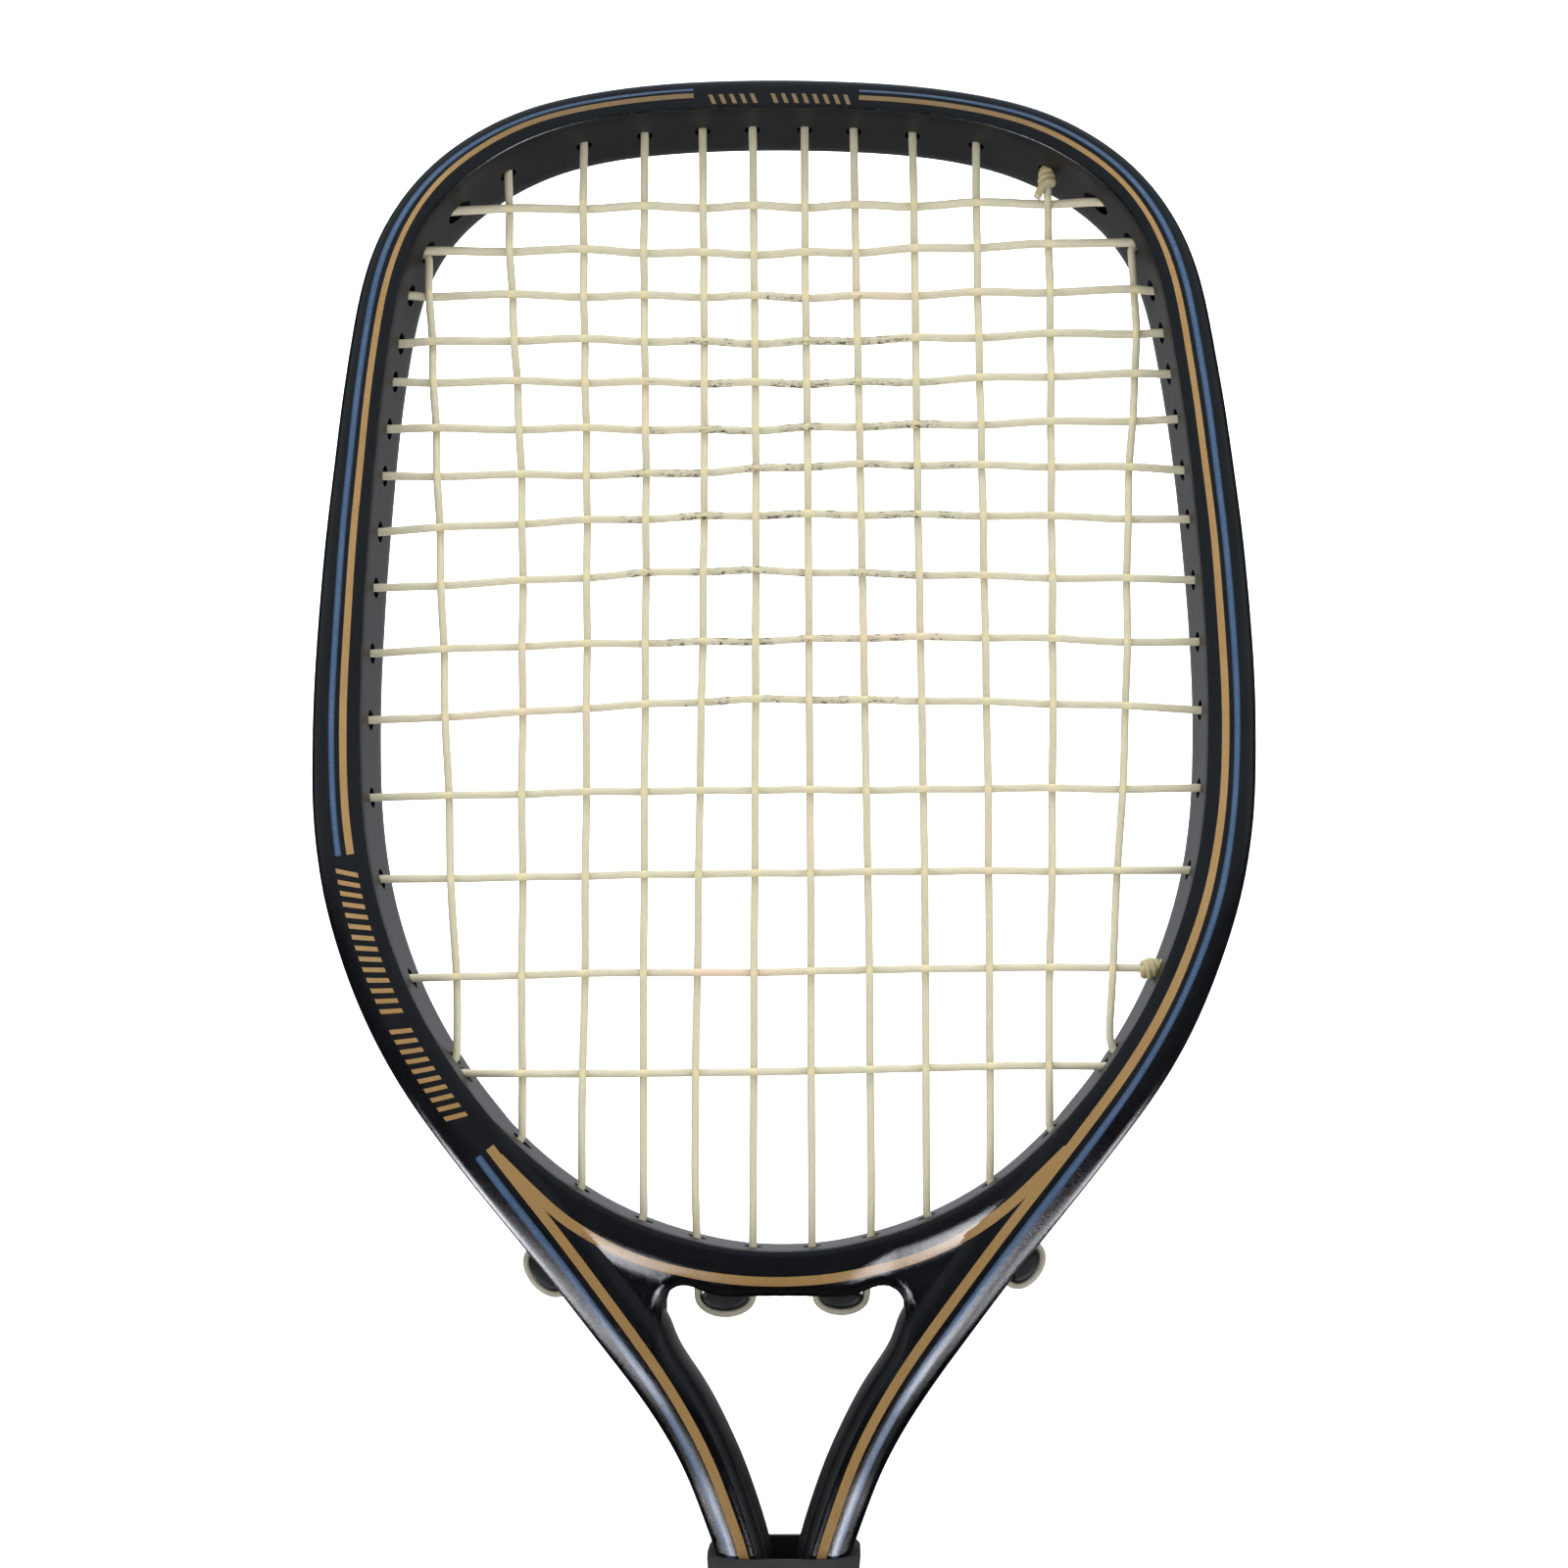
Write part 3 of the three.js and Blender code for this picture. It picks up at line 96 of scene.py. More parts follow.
# ------------------------------------------------------------------ small geometry tools
def spline(P, step):
    """Natural cubic spline through P, resampled evenly."""
    P = np.asarray(P, float)
    t = np.concatenate([[0], np.cumsum(np.linalg.norm(np.diff(P, axis=0), axis=1))])
    n, h = len(P), np.diff(t)
    A = np.eye(n)
    rhs = np.zeros_like(P)
    for i in range(1, n - 1):
        A[i, i - 1], A[i, i], A[i, i + 1] = h[i - 1], 2 * (h[i - 1] + h[i]), h[i]
        rhs[i] = 6 * ((P[i + 1] - P[i]) / h[i] - (P[i] - P[i - 1]) / h[i - 1])
    M = np.linalg.solve(A, rhs)
    fine = np.linspace(0, t[-1], max(8, int(t[-1] / 0.2)))
    k = np.clip(np.searchsorted(t, fine, side="right") - 1, 0, n - 2)
    a, b = (t[k + 1] - fine)[:, None], (fine - t[k])[:, None]
    H = h[k][:, None]
    Q = M[k] * a**3 / (6 * H) + M[k + 1] * b**3 / (6 * H) + (P[k] / H - M[k] * H / 6) * a + (P[k + 1] / H - M[k + 1] * H / 6) * b
    return even(Q, step)


def even(Q, step):
    s = np.concatenate([[0], np.cumsum(np.linalg.norm(np.diff(Q, axis=0), axis=1))])
    m = max(2, int(round(s[-1] / step)) + 1)
    u = np.linspace(0, s[-1], m)
    return np.stack([np.interp(u, s, Q[:, i]) for i in range(Q.shape[1])], 1)


def gauss(V, sigma):
    """Smooths rows of V along the first axis; the ends are extended straight."""
    r = int(math.ceil(3 * sigma))
    k = np.exp(-0.5 * (np.arange(-r, r + 1) / sigma) ** 2)
    k /= k.sum()
    V = np.asarray(V, float)
    one = V.ndim == 1
    V = V[:, None] if one else V
    head = 2 * V[0] - V[r:0:-1]
    tail = 2 * V[-1] - V[-2 : -r - 2 : -1]
    E = np.concatenate([head, V, tail])
    out = np.stack([np.convolve(E[:, i], k, "valid") for i in range(V.shape[1])], 1)
    return out[:, 0] if one else out


def fair(V, sigma):
    g = gauss(V, sigma)
    return g + gauss(V - g, sigma)


def mirror(half):
    return np.concatenate([(half * [-1, 1])[::-1], half[1:]])


def smoothstep(x):
    x = np.clip(x, 0, 1)
    return x * x * (3 - 2 * x)


def ray(P, D, C):
    """Distance from each point P along D to the polyline C (inf where it misses)."""
    A, B = C[:-1], C[1:]
    E = B - A
    det = D[:, None, 0] * E[None, :, 1] - D[:, None, 1] * E[None, :, 0]
    W = A[None] - P[:, None]
    with np.errstate(divide="ignore", invalid="ignore"):
        t = (W[..., 0] * E[None, :, 1] - W[..., 1] * E[None, :, 0]) / det
        s = (W[..., 0] * D[:, None, 1] - W[..., 1] * D[:, None, 0]) / det
    t = np.where((np.abs(det) > 1e-9) & (s >= -1e-6) & (s <= 1 + 1e-6) & (t > 0.01), t, np.inf)
    return t.min(1)


def mesh_piece(name, V, F, mats, smooth=True, sharp=None, mat_index=None, attrs=None):
    me = bpy.data.meshes.new(name)
    me.from_pydata([tuple(v) for v in ((np.asarray(V, float) + SEAT) * MM)], [], [tuple(int(i) for i in f) for f in F])
    for key, vals in (attrs or {}).items():
        a = me.attributes.new(key, "FLOAT", "POINT")
        a.data.foreach_set("value", np.asarray(vals, np.float32))
    me.validate()
    ob = bpy.data.objects.new(name, me)
    bpy.context.scene.collection.objects.link(ob)
    for m in mats if isinstance(mats, (list, tuple)) else [mats]:
        me.materials.append(m)
    if mat_index is not None:
        me.polygons.foreach_set("material_index", np.asarray(mat_index, np.int32))
    fix_normals(me)
    me.shade_smooth() if smooth else me.shade_flat()
    if sharp:
        me.set_sharp_from_angle(angle=math.radians(sharp))
    return ob


def fix_normals(me):
    bm = bmesh.new()
    bm.from_mesh(me)
    bmesh.ops.recalc_face_normals(bm, faces=bm.faces)
    bm.to_mesh(me)
    bm.free()


def grid_faces(n, m, closed_m=True, closed_n=False, base=0):
    """Faces of an n x m grid of vertices; m runs round each ring."""
    F = []
    for i in range(n if closed_n else n - 1):
        a = base + i * m
        b = base + ((i + 1) % n) * m
        for j in range(m if closed_m else m - 1):
            k = (j + 1) % m
            F.append((a + j, a + k, b + k, b + j))
    return F


def rings_mesh(rings, cap=True, closed=False):
    """Closed solid from a list of equal rings."""
    n, m = len(rings), len(rings[0])
    V = np.concatenate(rings)
    F = grid_faces(n, m, True, closed)
    if cap and not closed:
        F.append(tuple(range(m - 1, -1, -1)))
        F.append(tuple((n - 1) * m + i for i in range(m)))
    return V, F


def tube(P, r, sides=10, twist=0.0, profile=None):
    """Sweeps a round (or given) section along P; returns rings and the along/around coordinates."""
    P = np.asarray(P, float)
    T = np.gradient(P, axis=0)
    T /= np.linalg.norm(T, axis=1)[:, None]
    ref = np.array([0, 1, 0]) if abs(T[0][1]) < 0.9 else np.array([1, 0, 0])
    N = np.zeros_like(P)
    n = ref - T[0] * ref.dot(T[0])
    N[0] = n / np.linalg.norm(n)
    for i in range(1, len(P)):
        n = N[i - 1] - T[i] * N[i - 1].dot(T[i])
        N[i] = n / max(1e-9, np.linalg.norm(n))
    B = np.cross(T, N)
    s = np.concatenate([[0], np.cumsum(np.linalg.norm(np.diff(P, axis=0), axis=1))])
    a = np.arange(sides) / sides * 2 * math.pi
    rr = np.broadcast_to(np.asarray(r, float), (len(P),)) if np.ndim(r) <= 1 else r
    rings, along, around = [], [], []
    for i in range(len(P)):
        ph = a + twist * s[i]
        rad = rr[i] * (profile(a, s[i]) if profile else 1.0)
        rings.append(P[i] + (np.cos(ph) * rad)[:, None] * N[i] + (np.sin(ph) * rad)[:, None] * B[i])
        along += [s[i]] * sides
        around += list(np.arange(sides) / sides)
    return rings, np.array(along), np.array(around)


def boolean(ob, cutter, op="DIFFERENCE"):
    m = ob.modifiers.new("b", "BOOLEAN")
    m.operation = op
    m.object = cutter
    try:
        m.solver = "MANIFOLD"
    except TypeError:
        m.solver = "EXACT"
    dg = bpy.context.evaluated_depsgraph_get()
    new = bpy.data.meshes.new_from_object(ob.evaluated_get(dg))
    if len(new.vertices) < 8:
        m.solver = "EXACT"
        dg = bpy.context.evaluated_depsgraph_get()
        new = bpy.data.meshes.new_from_object(ob.evaluated_get(dg))
    old = ob.data
    ob.modifiers.clear()
    ob.data = new
    new.name = old.name
    bpy.data.meshes.remove(old)


def drop(ob):
    me = ob.data
    bpy.data.objects.remove(ob)
    bpy.data.meshes.remove(me)


# ------------------------------------------------------------------ materials
class Mat:
    def __init__(self, name):
        self.m = bpy.data.materials.new(name)
        self.m.use_nodes = True
        self.t = self.m.node_tree
        self.b = self.t.nodes["Principled BSDF"]

    def node(self, kind, **kw):
        n = self.t.nodes.new(kind)
        for k, v in kw.items():
            if k.startswith("_"):
                setattr(n, k[1:], v)
            else:
                key = k.replace("__", " ")
                if isinstance(v, bpy.types.NodeSocket):
                    self.t.links.new(v, n.inputs[key])
                else:
                    n.inputs[key].default_value = v
        return n

    def link(self, a, b):
        self.t.links.new(a, b)

    def set(self, **kw):
        for k, v in kw.items():
            key = k.replace("__", " ")
            if isinstance(v, bpy.types.NodeSocket):
                self.t.links.new(v, self.b.inputs[key])
            else:
                self.b.inputs[key].default_value = v

    def pos(self):
        return self.node("ShaderNodeNewGeometry").outputs["Position"]

    def noise(self, scale, detail=3.0, rough=0.55, vec=None, dist=0.0):
        n = self.node("ShaderNodeTexNoise", Scale=scale, Detail=detail, Roughness=rough, Distortion=dist)
        self.link(vec if vec is not None else self.pos(), n.inputs["Vector"])
        return n.outputs["Fac"]

    def ramp(self, fac, stops):
        n = self.node("ShaderNodeValToRGB")
        self.link(fac, n.inputs["Fac"])
        el = n.color_ramp.elements
        el[0].position, el[0].color = stops[0][0], (*stops[0][1], 1)
        el[1].position, el[1].color = stops[1][0], (*stops[1][1], 1)
        for p, c in stops[2:]:
            e = el.new(p)
            e.color = (*c, 1)
        return n.outputs["Color"]

    def map(self, fac, a, b, c, d, smooth=False):
        n = self.node("ShaderNodeMapRange")
        if smooth:
            n.interpolation_type = "SMOOTHSTEP"
        self.link(fac, n.inputs["Value"])
        n.inputs["From Min"].default_value, n.inputs["From Max"].default_value = a, b
        n.inputs["To Min"].default_value, n.inputs["To Max"].default_value = c, d
        return n.outputs["Result"]

    def math(self, op, a, b=None, clamp=False):
        n = self.node("ShaderNodeMath", _operation=op)
        n.use_clamp = clamp
        for i, v in enumerate((a, b)):
            if v is None:
                continue
            if isinstance(v, bpy.types.NodeSocket):
                self.link(v, n.inputs[i])
            else:
                n.inputs[i].default_value = v
        return n.outputs[0]

    def mix(self, fac, a, b):
        n = self.node("ShaderNodeMix", _data_type="RGBA")
        for sock, v in ((n.inputs[0], fac), (n.inputs[6], a), (n.inputs[7], b)):
            if isinstance(v, bpy.types.NodeSocket):
                self.link(v, sock)
            elif isinstance(v, (tuple, list)):
                sock.default_value = (*v, 1)
            else:
                sock.default_value = v
        return n.outputs[2]

    def bump(self, height, strength, distance, normal=None):
        n = self.node("ShaderNodeBump", Strength=strength, Distance=distance)
        self.link(height, n.inputs["Height"])
        if normal is not None:
            self.link(normal, n.inputs["Normal"])
        return n.outputs["Normal"]

    def attr(self, name):
        return self.node("ShaderNodeAttribute", _attribute_name=name).outputs["Fac"]


def lacquer():
    """Gloss black lacquer over graphite; the head's inner wall is left satin."""
    m = Mat("gloss_black_lacquer")
    geo = m.node("ShaderNodeNewGeometry")
    sep_n = m.node("ShaderNodeSeparateXYZ")
    m.link(geo.outputs["True Normal"], sep_n.inputs[0])
    to_c = m.node("ShaderNodeVectorMath", _operation="SUBTRACT")
    to_c.inputs[0].default_value = (0, 0, 0.33)
    m.link(geo.outputs["Position"], to_c.inputs[1])
    flat = m.node("ShaderNodeVectorMath", _operation="MULTIPLY")
    m.link(to_c.outputs[0], flat.inputs[0])
    flat.inputs[1].default_value = (1, 0, 1)
    unit = m.node("ShaderNodeVectorMath", _operation="NORMALIZE")
    m.link(flat.outputs[0], unit.inputs[0])
    dot = m.node("ShaderNodeVectorMath", _operation="DOT_PRODUCT")
    m.link(unit.outputs[0], dot.inputs[0])
    m.link(geo.outputs["True Normal"], dot.inputs[1])
    inward = m.map(dot.outputs["Value"], 0.45, 0.7, 0, 1, True)
    flatness = m.map(m.math("ABSOLUTE", sep_n.outputs["Y"]), 0.25, 0.5, 1, 0, True)
    sep_p = m.node("ShaderNodeSeparateXYZ")
    m.link(geo.outputs["Position"], sep_p.inputs[0])
    above = m.map(sep_p.outputs["Z"], 0.1975, 0.2005, 0, 1)
    satin = m.math("MULTIPLY", m.math("MULTIPLY", inward, flatness), above)
    facing = m.math("MULTIPLY", sep_n.outputs["X"], m.math("SIGN", sep_p.outputs["X"]))
    throat_side = m.math("MULTIPLY", m.map(facing, -0.55, -0.3, 1, 0, True), m.math("SUBTRACT", 1.0, above))
    throat_side = m.math("MULTIPLY", throat_side, m.map(m.math("ABSOLUTE", sep_p.outputs["X"]), 0.0275, 0.029, 1, 0, True))
    satin = m.math("MAXIMUM", satin, throat_side)
    peel = m.noise(950, 2, 0.5)
    fine = m.noise(3600, 2, 0.5)
    wear = m.noise(55, 6, 0.65)
    speck = m.map(m.noise(2600, 1, 0.5), 0.62, 0.7, 0, 1)
    scratch_vec = m.node("ShaderNodeMapping")
    scratch_vec.inputs["Scale"].default_value = (60, 60, 900)
    m.link(m.pos(), scratch_vec.inputs["Vector"])
    scratch = m.map(m.noise(9, 2, 0.5, scratch_vec.outputs[0]), 0.66, 0.7, 0, 1)
    base = m.mix(m.map(wear, 0.3, 0.75, 0, 1), (0.0026, 0.0028, 0.0036), (0.0052, 0.0056, 0.0068))
    base = m.mix(m.math("MULTIPLY", speck, 0.10), base, (0.04, 0.044, 0.05))
    base = m.mix(satin, base, m.mix(m.map(wear, 0.35, 0.7, 0, 1), (0.0036, 0.0037, 0.0042), (0.0068, 0.007, 0.0077)))
    rough = m.map(wear, 0.3, 0.8, 0.13, 0.24)
    rough = m.math("ADD", rough, m.math("MULTIPLY", scratch, 0.12))
    r = m.node("ShaderNodeMix", _data_type="FLOAT")
    m.link(satin, r.inputs[0])
    m.link(rough, r.inputs[2])
    r.inputs[3].default_value = 0.42
    low_z = sep_p.outputs["Z"]
    worn = m.math("MULTIPLY", m.math("MULTIPLY", m.map(low_z, 0.168, 0.177, 1, 0), m.map(low_z, 0.150, 0.157, 0, 1)), m.map(wear, 0.35, 0.6, 0.65, 0.9))
    coat = m.math("MULTIPLY", m.map(satin, 0, 1, 1.0, 0.0), m.math("SUBTRACT", 1.0, worn))
    # painted shade: the gloss lacquer's colour is darkened from the lower head downwards, more so lower down (the satin
    # walls are left out)
    base = m.mix(m.math("MULTIPLY", m.map(low_z, 0.17, 0.24, 0.82, 0.0), m.math("SUBTRACT", 1.0, satin)), base, (0.0008, 0.0009, 0.0011))
    h = m.math("ADD", m.math("MULTIPLY", peel, 0.5), m.math("MULTIPLY", fine, 0.8))
    m.set(Base__Color=base, Roughness=r.outputs[0], Coat__Weight=coat, Coat__Roughness=0.035, Specular__IOR__Level=m.map(satin, 0, 1, 0.04, 0.5),
          Normal=m.bump(h, 0.22, 0.00012))
    n2 = m.bump(h, 0.42, 0.00012)
    m.link(n2, m.b.inputs["Coat Normal"])
    return m.m


def stripe(name, dark, light, metallic, wearcol, low, top, top_shade_colour):
    m = Mat(name)
    grain = m.noise(2300, 3, 0.6)
    tone = m.noise(60, 4, 0.6)
    col = m.mix(m.map(grain, 0.3, 0.75, 0, 1), dark, light)
    col = m.mix(m.math("MULTIPLY", m.map(tone, 0.35, 0.75, 0, 1), 0.35), col, wearcol)
    if name == "stripe_blue":
        off = m.math("ABSOLUTE", m.math("SUBTRACT", m.attr("across"), 0.5))
        col = m.mix(m.map(off, 0.18, 0.48, 0.0, 0.8), col, (0.012, 0.024, 0.05))
    sp = m.node("ShaderNodeSeparateXYZ")
    m.link(m.pos(), sp.inputs[0])
    # painted shade: the stripe's colour is darkened towards the bottom from the lower head down, and towards the top of
    # the hoop
    col = m.mix(m.map(sp.outputs["Z"], 0.195, 0.29, low, 0.0), col, (dark[0] * 0.35, dark[1] * 0.33, dark[2] * 0.2))
    col = m.mix(m.map(sp.outputs["Z"], 0.445, 0.466, 0.0, top), col, top_shade_colour)
    m.set(Base__Color=col, Metallic=metallic, Roughness=m.map(grain, 0.3, 0.8, 0.3, 0.45), Coat__Weight=m.math("SUBTRACT", 1.0, m.math("MULTIPLY", m.math("MULTIPLY", m.map(sp.outputs["Z"], 0.168, 0.177, 1, 0), m.map(sp.outputs["Z"], 0.150, 0.157, 0, 1)), 0.75)), Coat__Roughness=0.035, Specular__IOR__Level=0.05,
          Normal=m.bump(m.noise(1100, 2, 0.5), 0.2, 0.0001))
    h = m.math("ADD", m.math("MULTIPLY", m.noise(950, 2, 0.5), 0.5), m.math("MULTIPLY", m.noise(3600, 2, 0.5), 0.8))
    m.link(m.bump(h, 0.42, 0.00012), m.b.inputs["Coat Normal"])
    return m.m


def nylon():
    """Cream translucent string: yellower at the crossings, black scuffs in the middle of the bed."""
    m = Mat("nylon_string")
    contact = m.attr("contact")
    scuff = m.attr("scuff")
    pink = m.attr("pink")
    fine = m.noise(2400, 4, 0.65)
    streak_v = m.node("ShaderNodeCombineXYZ")
    m.link(m.math("MULTIPLY", m.attr("along"), 0.35), streak_v.inputs[0])
    m.link(m.math("MULTIPLY", m.attr("around"), 7.0), streak_v.inputs[1])
    streak = m.noise(1.4, 4, 0.65, streak_v.outputs[0])
    base = m.mix(m.map(streak, 0.3, 0.75, 0, 1), (0.40, 0.375, 0.275), (0.50, 0.472, 0.345))
    base = m.mix(m.math("MULTIPLY", contact, 0.6), base, (0.58, 0.51, 0.27))
    base = m.mix(m.attr("knot"), base, (0.36, 0.30, 0.15))
    # painted shade: the string is greyer and darker where it runs over the black saddles
    base = m.mix(m.math("MULTIPLY", m.attr("worn"), 0.75), base, (0.20, 0.19, 0.155))
    base = m.mix(m.math("MULTIPLY", pink, 0.55), base, (0.62, 0.42, 0.33))
    mark_v = m.node("ShaderNodeCombineXYZ")
    m.link(m.math("MULTIPLY", m.attr("along"), 0.42), mark_v.inputs[0])
    m.link(m.math("MULTIPLY", m.attr("around"), 5.0), mark_v.inputs[1])
    marks = m.map(m.math("MULTIPLY", scuff, m.noise(1.7, 5, 0.75, mark_v.outputs[0])), 0.515, 0.55, 0, 1.0)
    patch_v = m.node("ShaderNodeCombineXYZ")
    m.link(m.math("MULTIPLY", m.attr("along"), 0.11), patch_v.inputs[0])
    patchy = m.map(m.noise(1.0, 1, 0.5, patch_v.outputs[0]), 0.47, 0.52, 0, 1, True)
    geo = m.node("ShaderNodeNewGeometry")
    sn = m.node("ShaderNodeSeparateXYZ")
    m.link(geo.outputs["Normal"], sn.inputs[0])
    edge = m.map(m.math("ABSOLUTE", sn.outputs["Z"]), 0.15, 0.55, 0.25, 1.0)
    patchy = m.math("MULTIPLY", patchy, edge)
    marks = m.math("MULTIPLY", marks, patchy)
    spots = m.math("MULTIPLY", m.map(m.math("MULTIPLY", scuff, m.noise(3600, 3, 0.6)), 0.57, 0.62, 0, 0.7), patchy)
    base = m.mix(m.math("MAXIMUM", marks, spots), base, (0.035, 0.03, 0.028))
    m.set(Base__Color=base, Roughness=m.map(fine, 0.3, 0.8, 0.3, 0.5), Transmission__Weight=0.08, IOR=1.45, Specular__IOR__Level=0.25,
          Normal=m.bump(m.math("ADD", m.math("MULTIPLY", streak, 0.6), m.math("MULTIPLY", fine, 0.3)), 0.25, 0.0001))
    return m.m


def plain(name, dark, light, rough, bump_scale=1600, bump=0.2, metallic=0.0, spec=0.5, tone_scale=70):
    m = Mat(name)
    tone = m.noise(tone_scale, 5, 0.6)
    fine = m.noise(bump_scale, 3, 0.6)
    m.set(Base__Color=m.mix(m.map(tone, 0.3, 0.75, 0, 1), dark, light), Roughness=m.map(fine, 0.25, 0.8, rough - 0.08, rough + 0.1),
          Metallic=metallic, Specular__IOR__Level=spec, Normal=m.bump(fine, bump, 0.00012))
    return m.m


def leather():
    """Perforated wrap leather, darker along the seam, with fine creases."""
    m = Mat("grip_leather")
    along, seam = m.attr("along"), m.attr("seam")
    around = m.attr("around")
    vor = m.node("ShaderNodeTexVoronoi", _feature="DISTANCE_TO_EDGE", Scale=1500)
    m.link(m.pos(), vor.inputs["Vector"])
    crease = m.map(vor.outputs["Distance"], 0.0, 0.12, 0, 1)
    cell = m.node("ShaderNodeCombineXYZ")
    m.link(m.attr("strip_x"), cell.inputs[0])
    m.link(m.attr("strip_y"), cell.inputs[1])
    # rows of pin holes across the strip, about 4 mm apart
    fx = m.math("FRACT", m.math("MULTIPLY", m.attr("strip_x"), 1 / 4.2))
    fy = m.math("FRACT", m.math("MULTIPLY", m.attr("strip_y"), 1 / 4.2))
    dx = m.math("MULTIPLY", m.math("SUBTRACT", fx, 0.5), 4.2)
    dy = m.math("MULTIPLY", m.math("SUBTRACT", fy, 0.5), 4.2)
    d = m.math("SQRT", m.math("ADD", m.math("POWER", dx, 2), m.math("POWER", dy, 2)))
    edge = m.map(seam, 0.0, 1.0, 1.0, 0.0)
    hole = m.math("MULTIPLY", m.map(d, 0.42, 0.62, 1, 0, True), edge)
    tone = m.noise(45, 6, 0.65)
    col = m.mix(m.map(tone, 0.3, 0.75, 0, 1), (0.020, 0.018, 0.0165), (0.045, 0.041, 0.038))
    # painted shade: the leather is darkened along its fine creases
    col = m.mix(m.math("MULTIPLY", m.math("SUBTRACT", 1, crease), 0.35), col, (0.012, 0.011, 0.010))
    # painted shade: the pin holes are painted near black for the shade inside them; they are only a dent in the bump
    col = m.mix(hole, col, (0.003, 0.003, 0.003))
    col = m.mix(m.math("MULTIPLY", seam, 0.6), col, (0.010, 0.009, 0.009))
    h = m.math("SUBTRACT", m.math("ADD", m.math("MULTIPLY", crease, 0.35), m.math("MULTIPLY", m.noise(900, 4, 0.6), 0.4)), m.math("MULTIPLY", hole, 1.6))
    m.set(Base__Color=col, Roughness=m.map(tone, 0.3, 0.8, 0.42, 0.62), Specular__IOR__Level=0.45, Normal=m.bump(h, 0.5, 0.00025))
    return m.m


def braid():
    """Braided cord: two sets of yarns crossing round the cord."""
    m = Mat("cord_nylon")
    al, ar = m.attr("along"), m.attr("around")
    p = m.math("ADD", m.math("MULTIPLY", al, 1 / 2.6), m.math("MULTIPLY", ar, 4.0))
    q = m.math("SUBTRACT", m.math("MULTIPLY", al, 1 / 2.6), m.math("MULTIPLY", ar, 4.0))
    sp = m.math("ABSOLUTE", m.math("SINE", m.math("MULTIPLY", p, math.pi)))
    sq = m.math("ABSOLUTE", m.math("SINE", m.math("MULTIPLY", q, math.pi)))
    weave = m.math("MULTIPLY", sp, sq)
    fuzz = m.noise(4200, 3, 0.6)
    # painted shade: the cord is painted darker in the grooves between the yarns and lighter on their crowns
    col = m.mix(weave, (0.006, 0.0065, 0.008), (0.038, 0.041, 0.05))
    col = m.mix(m.math("MULTIPLY", fuzz, 0.3), col, (0.07, 0.075, 0.09))
    m.set(Base__Color=col, Roughness=0.78, Sheen__Weight=0.4, Sheen__Roughness=0.5,
          Normal=m.bump(m.math("ADD", weave, m.math("MULTIPLY", fuzz, 0.35)), 0.8, 0.0003))
    return m.m


def wood():
    m = Mat("spacer_wood")
    mp = m.node("ShaderNodeMapping")
    mp.inputs["Scale"].default_value = (900, 900, 40)
    m.link(m.pos(), mp.inputs["Vector"])
    g = m.noise(1.0, 5, 0.6, mp.outputs[0], 0.6)
    m.set(Base__Color=m.mix(m.map(g, 0.3, 0.7, 0, 1), (0.33, 0.21, 0.11), (0.56, 0.41, 0.25)), Roughness=0.65, Normal=m.bump(g, 0.3, 0.0002))
    return m.m


LACQUER = lacquer()
GOLD = stripe("stripe_gold", (0.195, 0.116, 0.042), (0.285, 0.176, 0.070), 0.0, (0.31, 0.21, 0.11), 0.4, 0.85, (0.09, 0.07, 0.042))
BLUE = stripe("stripe_blue", (0.018, 0.042, 0.092), (0.060, 0.107, 0.19), 0.0, (0.10, 0.13, 0.19), 0.25, 0.5, (0.045, 0.065, 0.09))
NYLON = nylon()
BLACK = plain("black_nylon", (0.010, 0.0105, 0.011), (0.022, 0.0225, 0.024), 0.38)
SADDLE = plain("saddle_nylon", (0.0035, 0.0037, 0.004), (0.009, 0.0093, 0.010), 0.42, spec=0.2)
FOAM = plain("foam", (0.62, 0.55, 0.40), (0.78, 0.72, 0.56), 0.9, 2600, 0.7)
PALLET = plain("pallet_plastic", (0.085, 0.08, 0.074), (0.12, 0.115, 0.105), 0.75, 2400, 0.5)
LEATHER = leather()
TAPE = plain("tape", (0.011, 0.011, 0.0115), (0.020, 0.020, 0.021), 0.33, 700, 0.25)
RUBBER = plain("collar_rubber", (0.011, 0.011, 0.011), (0.021, 0.021, 0.0205), 0.68, 2200, 0.45)
CAP = plain("cap_plastic", (0.013, 0.0132, 0.0138), (0.022, 0.0225, 0.0235), 0.42, 1900, 0.4)
STEEL = plain("tack_steel", (0.50, 0.51, 0.53), (0.66, 0.66, 0.67), 0.3, 1500, 0.12, 1.0)
CORD = braid()
TOGGLE = plain("toggle_plastic", (0.020, 0.0205, 0.022), (0.032, 0.033, 0.036), 0.36, 1700, 0.3)
WOOD = wood()

# ------------------------------------------------------------------ contours
STEP = 1.5
outer = spline(mirror(OUTER), 0.5)
outer = even(fair(outer, 10.0), STEP)
mid = np.argmin(np.abs(outer[:, 0]) + (outer[:, 1] < 400) * 999)
tan = np.gradient(outer, axis=0)
tan /= np.linalg.norm(tan, axis=1)[:, None]
nin = np.stack([tan[:, 1], -tan[:, 0]], 1)  # points into the head
if nin[mid][1] > 0:
    nin = -nin
arc = np.concatenate([[0], np.cumsum(np.linalg.norm(np.diff(outer, axis=0), axis=1))])
arc -= arc[mid]
# The hoop is not quite symmetric: small offsets along the inward normal, by distance from the top centre.
SK = np.concatenate([np.arange(10.0, 403.0, 14.0), [440.0]])


def by_side(right, left, sigma=5.0):
    v = np.where(arc >= 0, np.interp(np.abs(arc), SK, right), np.interp(np.abs(arc), SK, left))
    return gauss(v, sigma)


